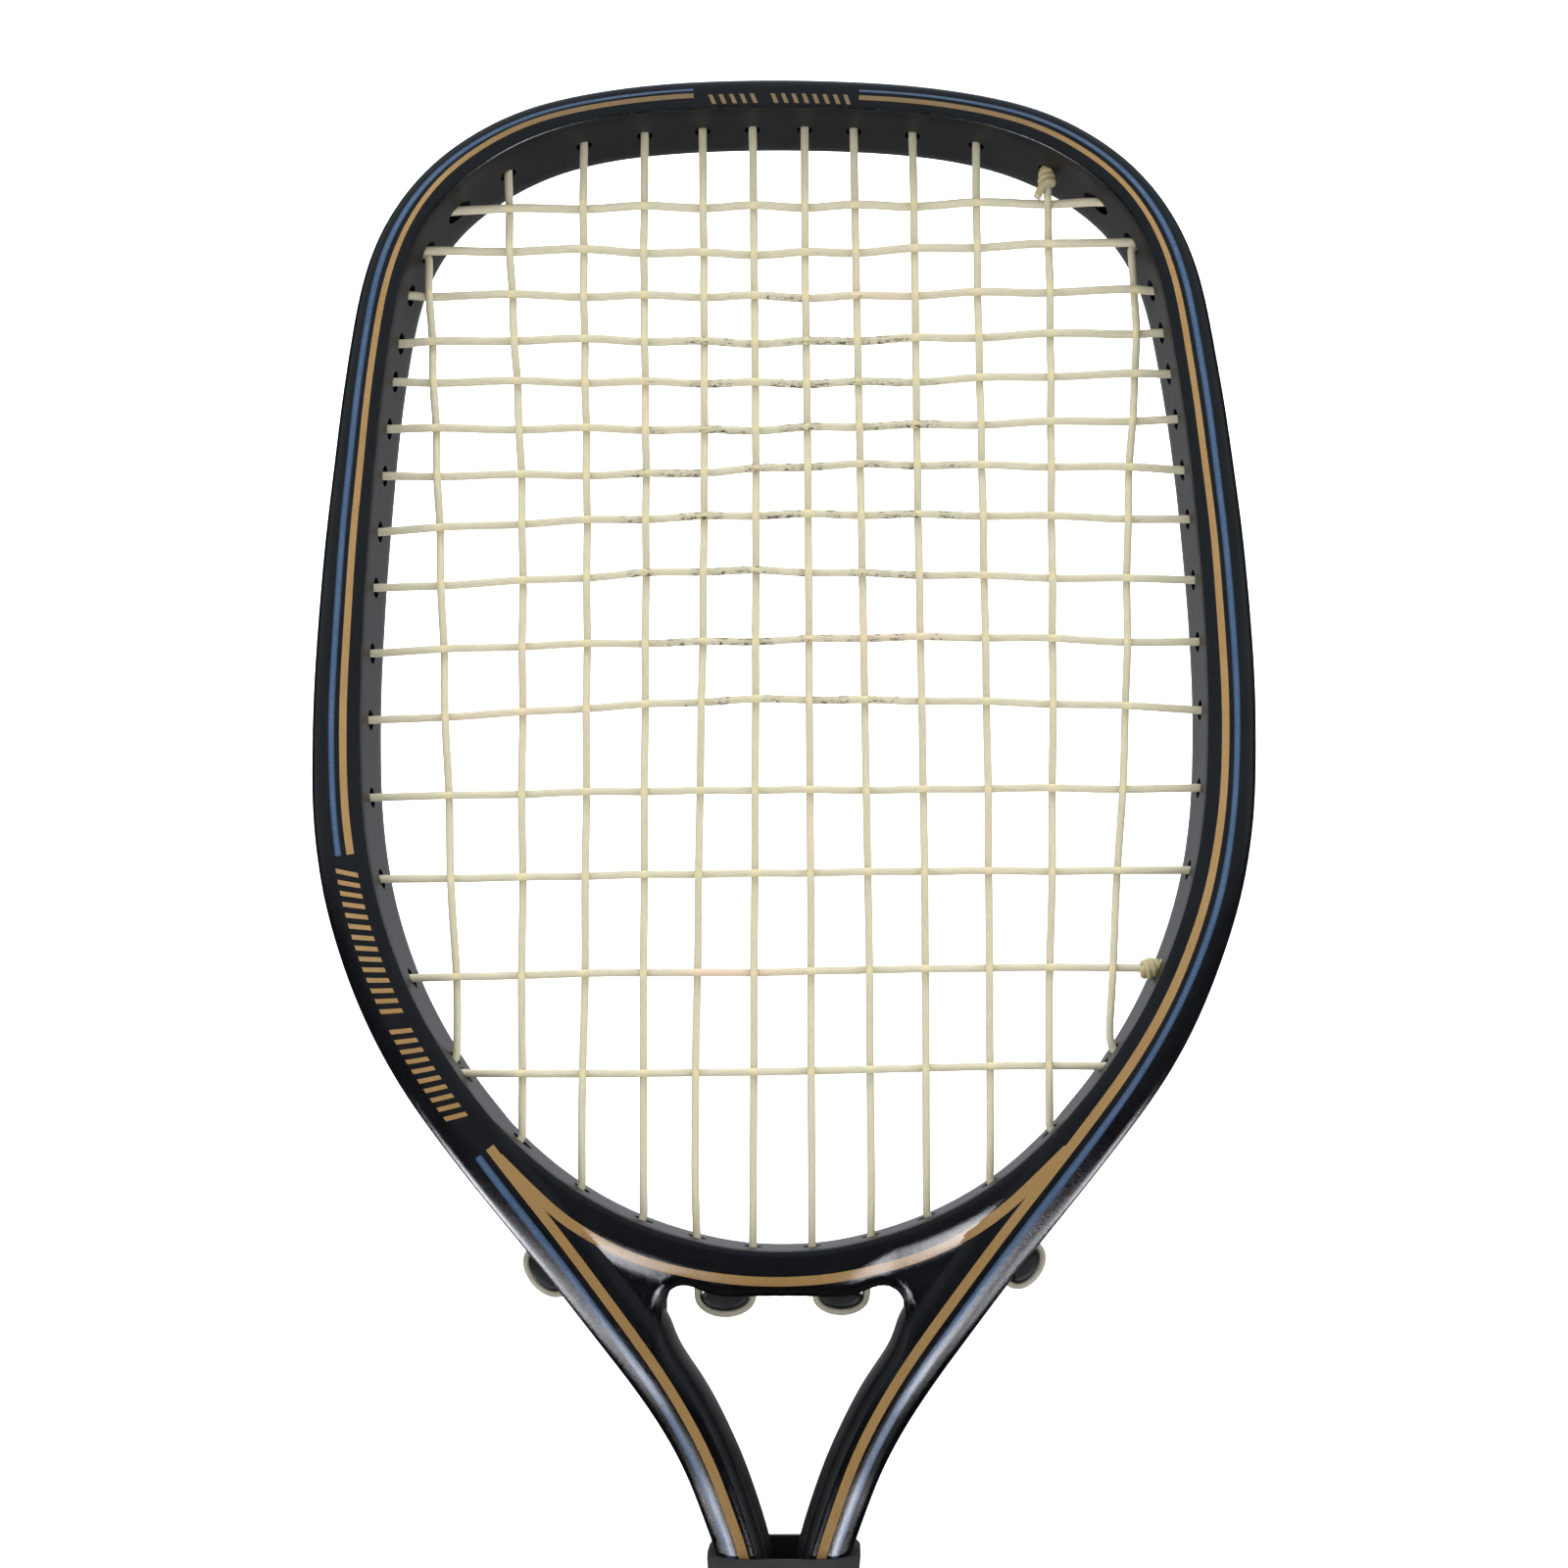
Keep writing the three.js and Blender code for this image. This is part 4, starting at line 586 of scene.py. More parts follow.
TRIM_R = [1.02, 1.10, 0.92, 0.83, 0.84, 0.87, 0.60, 0.53, 0.70, 0.56, 0.38, 0.08, 0.05, -0.11, -0.06, -0.01, -0.05, 0.07, 0.41, 0.58, 0.65, 0.90, 0.88, 0.85, 0.7, 0.55, 0.38, 0.29, 0.30, 0.0]
TRIM_L = [0.95, 0.85, 0.72, 0.65, 0.64, 0.57, 0.11, -0.15, 0.06, 0.20, 0.46, 0.40, 0.45, 0.40, 0.42, 0.25, -0.03, -0.29, -0.34, -0.46, -0.30, -0.30, -0.5, -0.5, -0.5, -0.5, -0.5, -0.12, 0.17, 0.0]
trim = by_side(TRIM_R, TRIM_L)
outer = outer + nin * trim[:, None]
tan = np.gradient(outer, axis=0)
tan /= np.linalg.norm(tan, axis=1)[:, None]
nin = np.stack([tan[:, 1], -tan[:, 0]], 1)
if nin[mid][1] > 0:
    nin = -nin
inner = even(fair(spline(mirror(INNER), 0.5), 8.0), 0.5)
_loop = np.concatenate([INNER, (INNER[1:-1] * [-1, 1])[::-1]])
_loop = spline(np.concatenate([_loop[-8:], _loop, _loop[:8]]), 0.5)
_fl = fair(_loop, 8.0)
_a = np.argmin(np.linalg.norm(_fl[40:200] - INNER[0], axis=1)) + 40
_b = np.argmin(np.linalg.norm(_fl[-200:-40] - INNER[0], axis=1)) + len(_fl) - 200
head_hole = np.concatenate([_fl[_a:_b], _fl[_a : _a + 1]])
throat = even(fair(spline(mirror(THROAT), 0.25), 3.0), 0.5)

WALL_R = [-0.1, 0.15, 0.1, 0.0, 0.0, 0.1, 0.4, 0.6, 0.55, 0.6, 0.4, 0.3, 0.2, 0.05, 0.05, -0.05, 0.0, 0.05, 0.3, 0.45, 0.6, 0.65, 0.7, 0.7, 0.7, 0.7, 0.7, 0.7, 0.5, 0.0]
WALL_L = [-0.2, 0.0, -0.2, -0.5, -0.7, -0.3, -0.45, -0.45, -0.5, -0.2, 0.1, 0.3, 0.4, 0.5, 0.5, 0.4, 0.3, 0.1, -0.1, -0.2, -0.3, -0.4, -0.5, -0.6, -0.6, -0.6, -0.6, -0.6, -0.5, 0.0]
wall_trim = by_side(WALL_R, WALL_L)
near_st = np.argmin(np.linalg.norm(head_hole[:, None] - outer[None], axis=2), axis=1)
k_low = smoothstep((236 - head_hole[:, 1]) / 16)[:, None]
head_hole = head_hole + (1 - k_low) * nin[near_st] * wall_trim[near_st][:, None] + k_low * np.array([-0.65, 0.0])
head_hole = gauss(head_hole, 6.0)
head_hole[-1] = head_hole[0]
wh = ray(outer, nin, head_hole)
wt = ray(outer, nin, throat)
BAND = 12.9
w = np.where((outer[:, 1] > 228) & np.isfinite(wh), wh, np.nan)
w = np.where((outer[:, 1] < 184) & np.isfinite(wt) & (outer[:, 1] > 16), wt, w)
w = np.where(outer[:, 1] < 126, 12.0, w)
idx = np.arange(len(w))
ok = np.isfinite(w) & (w < 17)
w = np.interp(idx, idx[ok], w[ok])
shoulder = (outer[:, 1] > 186) & (outer[:, 1] < 226)
w = np.where(shoulder, np.minimum(w, BAND + 0.9 + 2.0 * smoothstep((200 - outer[:, 1]) / 14)), w)
blendz = smoothstep((238 - outer[:, 1]) / 10) * smoothstep((outer[:, 1] - 176) / 8)
w = gauss(w, 2.0) * (1 - blendz) + gauss(w, 6.0) * blendz

gdep = GROOVE * smoothstep((outer[:, 1] - 219) / 7)


def rounding(wi):
    return min(6.0, 0.56 * wi), 6.4


PEXP = 2.25


def front_y(u, wi, rin=0.0):
    """Half depth of the beam at distance u from its outer contour."""
    R, RY = rounding(wi)
    y = HALF
    if u < R:
        k = (R - u) / R
        y = HALF - RY * (1 - (1 - min(1.0, k) ** PEXP) ** (1 / PEXP))
    return y


def section(wi, g, rin, swell=0.0):
    R, RY = rounding(wi)
    pts = []
    n_in = 4
    for k in range(n_in + 1):  # inner front fillet
        a = math.pi / 2 * k / n_in
        pts.append((wi - rin + rin * math.cos(a), HALF - rin + rin * math.sin(a)))
    for k in range(1, 5):
        pts.append((wi - rin + (R - wi + rin) * k / 5, HALF))
    for k in range(0, 13):
        a = math.pi / 2 * k / 12
        pts.append((R * (1 - math.sin(a) ** (2 / PEXP)), HALF - RY * (1 - max(0.0, math.cos(a)) ** (2 / PEXP))))
    pts.append((0.0, 2.95))
    pts.append((0.02, 2.65))
    pts.append((g * 0.16, 2.38))
    pts.append((g * 0.8, 2.2))
    pts.append((g * 0.97, 2.05))
    pts.append((g, 1.7))
    pts.append((g, 0.0))
    full = pts + [(u, -y) for u, y in pts[-2::-1]]
    full += [(wi + swell * (1 - (y / 8.2) ** 2), y) for y in (-6.6, -5.0, -3.4, -1.7, 0.0, 1.7, 3.4, 5.0, 6.6)]
    return full


rin = 0.55 + 2.0 * smoothstep((206 - outer[:, 1]) / 18) + 0.35 * smoothstep((230 - outer[:, 1]) / 20)
swell = 1.25 * smoothstep((196 - outer[:, 1]) / 14) * smoothstep((outer[:, 1] - 124) / 12)
hair = []
for i in range(len(outer)):
    S = np.array(section(w[i], gdep[i], rin[i], swell[i]))
    XZ = outer[i] + nin[i] * S[:, :1]
    hair.append(np.stack([XZ[:, 0], -S[:, 1], XZ[:, 1]], 1))
V, F = rings_mesh(hair)
shell = mesh_piece("racket_frame", V, F, LACQUER)

# The yoke: a rounded band under the head's inner contour, with a lower web towards the shafts.
low = head_hole[head_hole[:, 1] < 262]
low = low[np.argsort(low[:, 0])]
thr_all = throat[throat[:, 1] > 160]
xmax = thr_all[:, 0].max()
zc = thr_all[np.argmax(thr_all[:, 0]), 1]
thr = thr_all[thr_all[:, 1] > zc]
thr = thr[np.argsort(thr[:, 0])]
deep = outer + nin * 8.5
deepR = deep[(deep[:, 0] > 22) & (deep[:, 1] < 250) & (deep[:, 1] > 160)]
deepR = deepR[np.argsort(deepR[:, 0])]
XS = np.unique(np.round(np.concatenate([np.arange(-66, -29, 1.3), np.arange(-29.5, -20, 0.35), np.arange(-20, 20, 1.3), np.arange(20, 29.6, 0.35), np.arange(30, 66.5, 1.3), np.arange(26.6, 29.2, 0.12), -np.arange(26.6, 29.2, 0.12)]), 3))
XS = XS[np.concatenate([[True], np.diff(XS) > 0.07])]
T = np.concatenate([np.linspace(0, 1, 9)[:-1] ** 1.6 * 2.2, np.linspace(2.2, 14, 18)])
yoke = []
HB = HALF - 0.10
for X in XS:
    zt = np.interp(X, low[:, 0], low[:, 1])
    e = 0.6
    st = (np.interp(X + e, low[:, 0], low[:, 1]) - np.interp(X - e, low[:, 0], low[:, 1])) / (2 * e)
    ct = 1 / math.sqrt(1 + st * st)
    if abs(X) < xmax - 0.05:
        zb = np.interp(X, thr[:, 0], thr[:, 1])
    else:
        zd = np.interp(abs(X), deepR[:, 0], deepR[:, 1])
        k = smoothstep((abs(X) - xmax) / 1.6)
        zb = (zc - 5.0) * (1 - k) + min(zd, zt - 1.0) * k
    n = 40
    q = np.linspace(0, 1, n)
    q = q + 0.10 * np.sin(2 * math.pi * q) * -1
    z = zt + (zb - zt) * q
    dt = (zt - z) * ct
    # distance to the throat opening
    D = np.sqrt(((np.stack([np.full(n, X), z], 1)[:, None] - thr_all[None]) ** 2).sum(-1)).min(1)

    def fil(d, r):
        d = np.clip(d, 0, r)
        return r - np.sqrt(np.maximum(0, r * r - (r - d) ** 2))

    # the band is level near the head, then rolls over towards the web
    r0 = 5.4 - 2.5 * float(smoothstep((X - 14) / 12))
    uo = np.sqrt(((np.stack([np.full(n, X), z], 1)[:, None] - outer[None]) ** 2).sum(-1)).min(1)
    roll = 1.05 * smoothstep((dt - r0) / 6.0) * smoothstep((uo - 10.6) / 3.4)
    H = HB - fil(dt, 1.2) - roll
    H = H - fil(D, 3.0)
    H = np.maximum(H, 3.0)
    ring = [(X, -H[j], z[j]) for j in range(n)]
    ring += [(X, y, z[-1]) for y in (-H[-1] * 0.5, 0, H[-1] * 0.5)]
    ring += [(X, H[j], z[j]) for j in range(n - 1, -1, -1)]
    ring += [(X, y, z[0]) for y in (H[0] * 0.5, 0, -H[0] * 0.5)]
    yoke.append(np.array(ring))
V, F = rings_mesh(yoke)
yoke_ob = mesh_piece("yoke_part", V, F, LACQUER)
boolean(shell, yoke_ob, "UNION")
drop(yoke_ob)


# ------------------------------------------------------------------ course of the string
def unit(v):
    v = np.asarray(v, float)
    return v / np.linalg.norm(v)


groove_line = outer + nin * (GROOVE - 1.45)


def hit(p, d, C=groove_line):
    A, B = C[:-1], C[1:]
    E = B - A
    det = d[0] * E[:, 1] - d[1] * E[:, 0]
    W = A - np.asarray(p)
    with np.errstate(divide="ignore", invalid="ignore"):
        t = (W[:, 0] * E[:, 1] - W[:, 1] * E[:, 0]) / det
        s = (W[:, 0] * d[1] - W[:, 1] * d[0]) / det
    t = np.where((np.abs(det) > 1e-9) & (s >= 0) & (s <= 1) & (t > 0.01), t, np.inf)
    i = int(np.argmin(t))
    return {"at": i + s[i], "p": np.asarray(p) + np.asarray(d) * t[i]}


def snap(p, d):
    """Moves a wall point along d so that it lies on the visual head opening."""
    t = ray(np.array([p], float) - np.array([d], float) * 12, np.array([d], float), head_hole)[0]
    return np.asarray(p, float) - np.asarray(d) * 12 + np.asarray(d) * t


mains, crosses = [], []
for i, P in enumerate(MAINS):
    P = np.array(P)
    d = unit(P[0] - P[1])
    dn = unit(P[-1] - P[-2])
    if i == 0:
        d_up = unit(np.array(CROSSES[1][0]) - np.array(CROSSES[1][-1]))
        P[0] = (-81.8, 432.6)
    elif i == 11:
        d_up = unit(np.array(CROSSES[1][-1]) - np.array(CROSSES[1][0]))
        P[0] = (79.6, 434.6)
    else:
        d_up = d
    d_dn = unit(np.array(LOWER_EXITS[i]) - P[-1]) if i in LOWER_EXITS else dn
    P[0], P[-1] = snap(P[0], d_up), snap(P[-1], dn)
    mains.append({"P": P, "dup": d_up, "ddn": d_dn, "up": hit(P[0], d_up), "dn": hit(P[-1], d_dn), "yt": WEAVE * 1.1 if i in (0, 11) else 0.0})
for i, P in enumerate(CROSSES):
    P = np.array(P)
    dl, dr = unit(P[0] - P[1]), unit(P[-1] - P[-2])
    P[0], P[-1] = snap(P[0], dl), snap(P[-1], dr)
    crosses.append({"P": P, "dl": dl, "dr": dr, "l": hit(P[0], dl), "r": hit(P[-1], dr), "y": -WEAVE * 1.1 if i < 2 else 0.0})


def xcross(a, b):
    """Where two polylines cross, as arclength on each."""
    sa = np.concatenate([[0], np.cumsum(np.linalg.norm(np.diff(a, axis=0), axis=1))])
    sb = np.concatenate([[0], np.cumsum(np.linalg.norm(np.diff(b, axis=0), axis=1))])
    for i in range(len(a) - 1):
        for j in range(len(b) - 1):
            r, s = a[i + 1] - a[i], b[j + 1] - b[j]
            det = r[0] * s[1] - r[1] * s[0]
            if abs(det) < 1e-9:
                continue
            q = b[j] - a[i]
            t, u = (q[0] * s[1] - q[1] * s[0]) / det, (q[0] * r[1] - q[1] * r[0]) / det
            if 0 <= t <= 1 and 0 <= u <= 1:
                return sa[i] + t * np.linalg.norm(r), sb[j] + u * np.linalg.norm(s)
    return None


mx = [[] for _ in MAINS]
cx = [[] for _ in CROSSES]
main_path = [spline(m["P"], 0.6) for m in mains]
cross_path = [spline(c["P"], 0.6) for c in crosses]
for i, a in enumerate(main_path):
    for j, b in enumerate(cross_path):
        r = xcross(a[::6] if False else a, b) if False else None
        # coarse polylines are enough to find the crossing
        r = xcross(np.vstack([a[::12], a[-1:]]), np.vstack([b[::12], b[-1:]]))
        if r and r[0] > 2.5 and r[1] > 2.5:
            side = -1 if (i + j) % 2 == 0 else 1
            mx[i].append((r[0], side * WEAVE))
            cx[j].append((r[1], -side * WEAVE))


def woven(path, marks, y0, y1):
    """Lifts a plane path over and under its crossings; returns 3-D points and closeness to a crossing."""
    s = np.concatenate([[0], np.cumsum(np.linalg.norm(np.diff(path, axis=0), axis=1))])
    marks = sorted(marks)
    ks = np.array([0.0] + [m[0] for m in marks] + [s[-1]])
    ys = np.array([y0] + [m[1] for m in marks] + [y1])
    k = np.clip(np.searchsorted(ks, s, side="right") - 1, 0, len(ks) - 2)
    f = (s - ks[k]) / (ks[k + 1] - ks[k])
    f = np.where((k == 0) | (k == len(ks) - 2), smoothstep(f), smoothstep((f - 0.5) * 1.06 + 0.5))
    y = ys[k] + (ys[k + 1] - ys[k]) * f
    near = np.min(np.abs(s[:, None] - np.array([m[0] for m in marks])[None]), axis=1)
    return np.stack([path[:, 0], y, path[:, 1]], 1), np.exp(-((near / 0.95) ** 2))


def main_run(i):
    return woven(main_path[i], mx[i], mains[i]["yt"], 0.0)


def cross_run(j):
    return woven(cross_path[j], cx[j], crosses[j]["y"], crosses[j]["y"])


def v3(p, y=0.0):
    return np.array([p[0], y, p[1]])


def groove_run(a, b, y=0.0):
    n = len(groove_line)
    da = b["at"] - a["at"]
    k = max(3, int(abs(da) / 0.8))
    f = np.linspace(0.0, 1.0, k + 1)
    pos = a["at"] + np.sign(da) * 0.9 + (da - np.sign(da) * 1.8) * f if abs(da) > 3 else a["at"] + da * f
    i = np.clip(pos.astype(int), 0, n - 2)
    t = (pos - i)[:, None]
    P = groove_line[i] * (1 - t) + groove_line[i + 1] * t
    return [v3(p, y) for p in P]


def over(wa, a, wb, b, y=0.0):
    ia = a["p"] + unit(wa - a["p"]) * 1.4
    ib = b["p"] + unit(wb - b["p"]) * 1.4
    return [v3(ia, y)] + groove_run(a, b, y) + [v3(ib, y)]


def exit_bridge(i):
    P, d = mains[i]["P"], mains[i]["ddn"]
    return P[-1] + d * ((P[-1][1] - 194.5) / -d[1])


pairs = [
    ("saddle_shoulder_left", (2, 3), SHOULDER_EXITS[2], SHOULDER_EXITS[3]),
    ("saddle_bridge_left", (4, 5), exit_bridge(4), exit_bridge(5)),
    ("saddle_bridge_right", (6, 7), exit_bridge(6), exit_bridge(7)),
    ("saddle_shoulder_right", (8, 9), SHOULDER_EXITS[8], SHOULDER_EXITS[9]),
]
SAD = []
for name, pr, a, b in pairs:
    a, b = np.array(a, float), np.array(b, float)
    if name == "saddle_shoulder_right":
        a, b = a + [1.4, 1.7], b + [0.0, 0.8]
    if name == "saddle_bridge_right":
        a, b = a + [0.9, 0], b + [-1.0, 0]
    t = unit(b - a)
    out = np.array([t[1], -t[0]])
    m = (a + b) / 2
    if out.dot(m - np.array([0, 300.0])) < 0:
        out = -out
    SAD.append({"name": name, "pair": pr, "a": a, "b": b, "t": t, "out": out, "mid": m, "rise": 3.75 if m[0] > 0 else 4.2, "half": np.linalg.norm(b - a) / 2})


def saddle_run(s):
    pts = []
    for k in range(25):
        a = math.pi * k / 24
        p = s["mid"] - s["t"] * s["half"] * math.cos(a) + s["out"] * s["rise"] * math.sin(a)
        pts.append(v3(p))
    return pts


def coil(p, d, r, turns, pitch, start, per=14, taper=0.0):
    ax = np.array([d[0], 0, d[1]])
    ax /= np.linalg.norm(ax)
    side = np.array([0, 1.0, 0])
    third = np.cross(ax, side)
    n = int(turns * per)
    rr = [r * (1 - (taper * i / n if taper > 0 else -taper * (2 * i / n - 1) ** 2)) for i in range(n + 1)]
    return [v3(p) + ax * pitch * i / per + side * rr[i] * math.cos(start + i / per * 2 * math.pi) + third * rr[i] * math.sin(start + i / per * 2 * math.pi) for i in range(n + 1)]


def through(a, b, step=0.8):
    a, b = np.asarray(a, float), np.asarray(b, float)
    n = max(2, int(np.linalg.norm(b - a) / step))
    return [a + (b - a) * k / n for k in range(1, n)]


pts, con = [], []


def put(P, c=None):
    P = [np.asarray(p, float) for p in P]
    c = [0.0] * len(P) if c is None else list(c)
    if pts:
        gap = np.linalg.norm(P[0] - pts[-1])
        if gap > 1.3:
            extra = through(pts[-1], P[0], 0.9)
            pts.extend(extra)
            con.extend([0.0] * len(extra))
    pts.extend(P)
    con.extend(c)


m10 = mains[10]
tie_top_d = m10["dup"]
tie_top_wall = m10["P"][0] + np.array([1.1, -0.4])
tie_top = hit(tie_top_wall, tie_top_d)
down10 = -m10["dup"]
kn = m10["P"][0] + down10 * 0.6
# tail, two round turns and a hitch about main 11, then off to the tie-off hole
tail = [v3(kn + down10 * 6.1 + np.array([-2.5, 0]), -0.9), v3(kn + down10 * 4.9 + np.array([-1.9, 0]), -1.15), v3(kn + down10 * 3.5 + np.array([-1.25, 0]), -1.35)]
put(spline(np.array(tail + [coil(kn + down10 * 2.4, m10["dup"], 1.42, 0.1, 1.4, math.pi * 1.08)[0]]), 0.6))
knot_from = len(pts)
put(coil(kn + down10 * 2.5, m10["dup"], 1.5, 2.7, 1.3, math.pi * 1.08, 14, 0.32))
knots = [(knot_from - 8, len(pts) + 4)]
put(spline(np.array([pts[-1], v3(m10["P"][0] - down10 * 0.9 + np.array([0.9, 0]), -0.9), v3(m10["P"][0] - down10 * 3.0 + np.array([1.2, 0]), 0.2), v3(tie_top["p"] - tie_top_d * 1.4, 0.6)]), 0.6)[1:])
put(groove_run(tie_top, mains[11]["up"], WEAVE * 1.1) + [v3(mains[11]["up"]["p"] - mains[11]["dup"] * 1.4, WEAVE * 1.1)])
for i in range(11, -1, -1):
    P, c = main_run(i)
    downwards = i % 2 == 1
    if not downwards:
        P, c = P[::-1], c[::-1]
    put(P, c)
    if downwards:
        s = next((q for q in SAD if i in q["pair"]), None)
        if s:
            R = saddle_run(s)
            put(R if s["pair"][0] == i else R[::-1])
        else:
            put(over(mains[i]["P"][-1], mains[i]["dn"], mains[i - 1]["P"][-1], mains[i - 1]["dn"]))
    elif i > 0:
        put(over(mains[i]["P"][0], mains[i]["up"], mains[i - 1]["P"][0], mains[i - 1]["up"]))
put(over(mains[0]["P"][0], mains[0]["up"], crosses[0]["P"][0], crosses[0]["l"], WEAVE * 1.1))
for j in range(len(crosses)):
    P, c = cross_run(j)
    right = j % 2 == 0
    if not right:
        P, c = P[::-1], c[::-1]
    put(P, c)
    if j + 1 < len(crosses):
        e, k = ("r", -1) if right else ("l", 0)
        put(over(crosses[j]["P"][k], crosses[j][e], crosses[j + 1]["P"][k], crosses[j + 1][e], crosses[j]["y"]))
tie_side_wall = np.array([82.2, 262.4])
tie_side_d = unit(tie_side_wall - np.array([76.0, 262.2]))
tie_side_wall = snap(tie_side_wall, tie_side_d)
tie_side = hit(tie_side_wall, tie_side_d)
put([v3(crosses[14]["r"]["p"] - crosses[14]["dr"] * 1.4)] + groove_run(crosses[14]["r"], crosses[13]["r"]) + [v3(crosses[13]["r"]["p"] - crosses[13]["dr"] * 1.4 + np.array([0, 0.5]), -0.4)])
c13 = crosses[13]
in13 = -c13["dr"]
k2 = c13["P"][-1] + in13 * 1.3
knot_from = len(pts)
put([v3(c13["P"][-1] + in13 * 0.1 + np.array([0.0, 1.5]), -0.7)])
k2 = c13["P"][-1] + in13 * 0.1
kax = unit(in13 + np.array([0.0, -0.22]))
put(coil(k2 + np.array([0.3, 0.35]), kax, 1.95, 3.3, 1.2, math.pi * 0.6, 14, -0.42))
kk = k2 + kax * 3.3
put(spline(np.array([pts[-1], v3(kk + np.array([0.5, 0.3]), -1.2), v3(k2 + kax * 1.6 + np.array([0.0, 0.5]), -0.5)]), 0.6)[1:])
knots.append((knot_from, len(pts)))

Q = np.array(pts)
C = np.array(con)
KN = np.zeros(len(Q))
for a, b in knots:
    KN[max(0, a) : b] = 0.75
keep = np.concatenate([[True], np.linalg.norm(np.diff(Q, axis=0), axis=1) > 0.08])
Q, C, KN = Q[keep], C[keep], KN[keep]
# round the bends a little, but leave the woven parts as they are
for _ in range(3):
    A = Q.copy()
    A[1:-1] = 0.25 * Q[:-2] + 0.5 * Q[1:-1] + 0.25 * Q[2:]
    wgt = (1 - smoothstep(C * 3))[:, None]
    Q = Q * (1 - wgt) + A * wgt
# how near the string runs over a saddle: it thickens the string there and, in the nylon, paints shade on it
SW = np.zeros(len(Q))
for s in SAD:
    dd = np.abs((Q[:, [0, 2]] - s["mid"]) @ s["t"])
    hh = (Q[:, [0, 2]] - s["mid"]) @ s["out"]
    SW = np.maximum(SW, smoothstep((hh - 0.2) / 1.2) * (dd < s["half"] + 1.5) * (hh < 6))
SW = gauss(SW, 1.2)
rings, along, around = tube(Q, (STRING_R + 0.02) * (1 - 0.05 * C) + 0.12 * SW, 12)
V, F = rings_mesh(rings)
CC = np.repeat(C, 12)
XZ = V[:, [0, 2]]
# scuffs gather in the middle of the bed, strongest on the cross strings
mid_d = np.sqrt(((XZ[:, 0] - 2) / 47) ** 2 + ((XZ[:, 1] - 372) / 62) ** 2)
T_along = np.repeat(np.abs(np.gradient(Q, axis=0)[:, 0]) / np.maximum(1e-6, np.linalg.norm(np.gradient(Q, axis=0), axis=1)), 12)
scuff = (1 - smoothstep((mid_d - 0.75) / 0.6)) * (0.72 + 0.28 * T_along)
scuff = np.clip(scuff, 0, 1)
pink = np.zeros(len(V))
for (px, pz, rr, amt) in [(-13, 269, 11, 1.0), (-18, 269, 6, 1.0), (8, 300, 16, 0.5), (-30, 398, 14, 0.5), (22, 345, 18, 0.45), (47, 300, 20, 0.4), (-62, 330, 24, 0.35), (20, 425, 16, 0.4), (78, 440, 12, 0.5)]:
    pink = np.maximum(pink, amt * np.exp(-(((XZ[:, 0] - px) ** 2 + ((XZ[:, 1] - pz) * 2.2) ** 2) / rr**2)))
pink *= np.where(XZ[:, 1] < 275, T_along, 1)
string = mesh_piece("string_bed", V, F, NYLON, attrs={"contact": CC, "scuff": scuff, "pink": pink, "worn": np.repeat(SW, 12), "knot": np.repeat(KN, 12), "along": along, "around": around})

# ------------------------------------------------------------------ string holes
def rod_rings(a, b, r, sides=20):
    a, b = np.asarray(a, float), np.asarray(b, float)
    d = (b - a) / np.linalg.norm(b - a)
    return tube(np.array([a, b]), r, sides)[0]


cutA, cutB, barrels = [], [], []
holes = []
for i, m in enumerate(mains):
    if 0 < i < 11:
        holes.append((m["P"][0], m["dup"], m["up"]["p"]))
    if 4 <= i <= 7:
        holes.append((m["P"][-1], m["ddn"], None, exit_bridge(i)))
    elif i in SHOULDER_EXITS:
        e = np.array(SHOULDER_EXITS[i])
        holes.append((m["P"][-1], unit(e - m["P"][-1]), None, e))
    else:
        holes.append((m["P"][-1], m["ddn"], m["dn"]["p"]))
for c in crosses:
    holes.append((c["P"][0], c["dl"], c["l"]["p"]))
    up = np.array([0.2, 1.0]) if c is crosses[14] else np.zeros(2)
    holes.append((c["P"][-1] + up, c["dr"], c["r"]["p"]))
for n, h in enumerate(holes):
    end = h[2] if h[2] is not None else h[3] + h[1] * 4
    r = (1.75 if h[0][1] > 448 else 2.3) if h[2] is not None else 2.1
    start = v3(h[0] - h[1] * 5)
    (cutA if n % 2 else cutB).append(rod_rings(start, v3(end + h[1] * 2.5), r))
for group in (cutA, cutB):
    Vs, Fs, base = [], [], 0
    for rg in group:
        v, f = rings_mesh(rg)
        Vs.append(v)
        Fs += [tuple(i + base for i in q) for q in f]
        base += len(v)
    cutter = mesh_piece("cutter", np.concatenate(Vs), Fs, LACQUER)
    boolean(shell, cutter)
    drop(cutter)
shell.data.shade_smooth()
shell.data.set_sharp_from_angle(angle=math.radians(34))


# ------------------------------------------------------------------ grommet strips
def in_range(i0, i1, k=0):
    return range(i0, i1)


zR = {}
ridx = [i for i in range(mid, len(outer)) if outer[i][1] > 224]
lidx = [i for i in range(mid, -1, -1) if outer[i][1] > 224]
top_r = [i for i in ridx if outer[i][1] > 437.5]
side_r = [i for i in ridx if outer[i][1] < 436.3]
top_l = [i for i in lidx if outer[i][1] > 437.5]
side_l = [i for i in lidx if outer[i][1] < 436.3]
strips = {"grommet_strip_top": top_l[::-1] + top_r[1:], "grommet_strip_right": side_r, "grommet_strip_left": side_l}


def rail_section(lift=0.0):
    pts = []
    for k in range(9):
        a = math.pi * k / 8
        pts.append((GROOVE - 0.12 - 0.62 * (math.sin(a) ** 0.5) + lift, 2.05 * math.cos(a)))
    return pts + [(GROOVE + 0.05, -1.6), (GROOVE + 0.05, 1.6)]


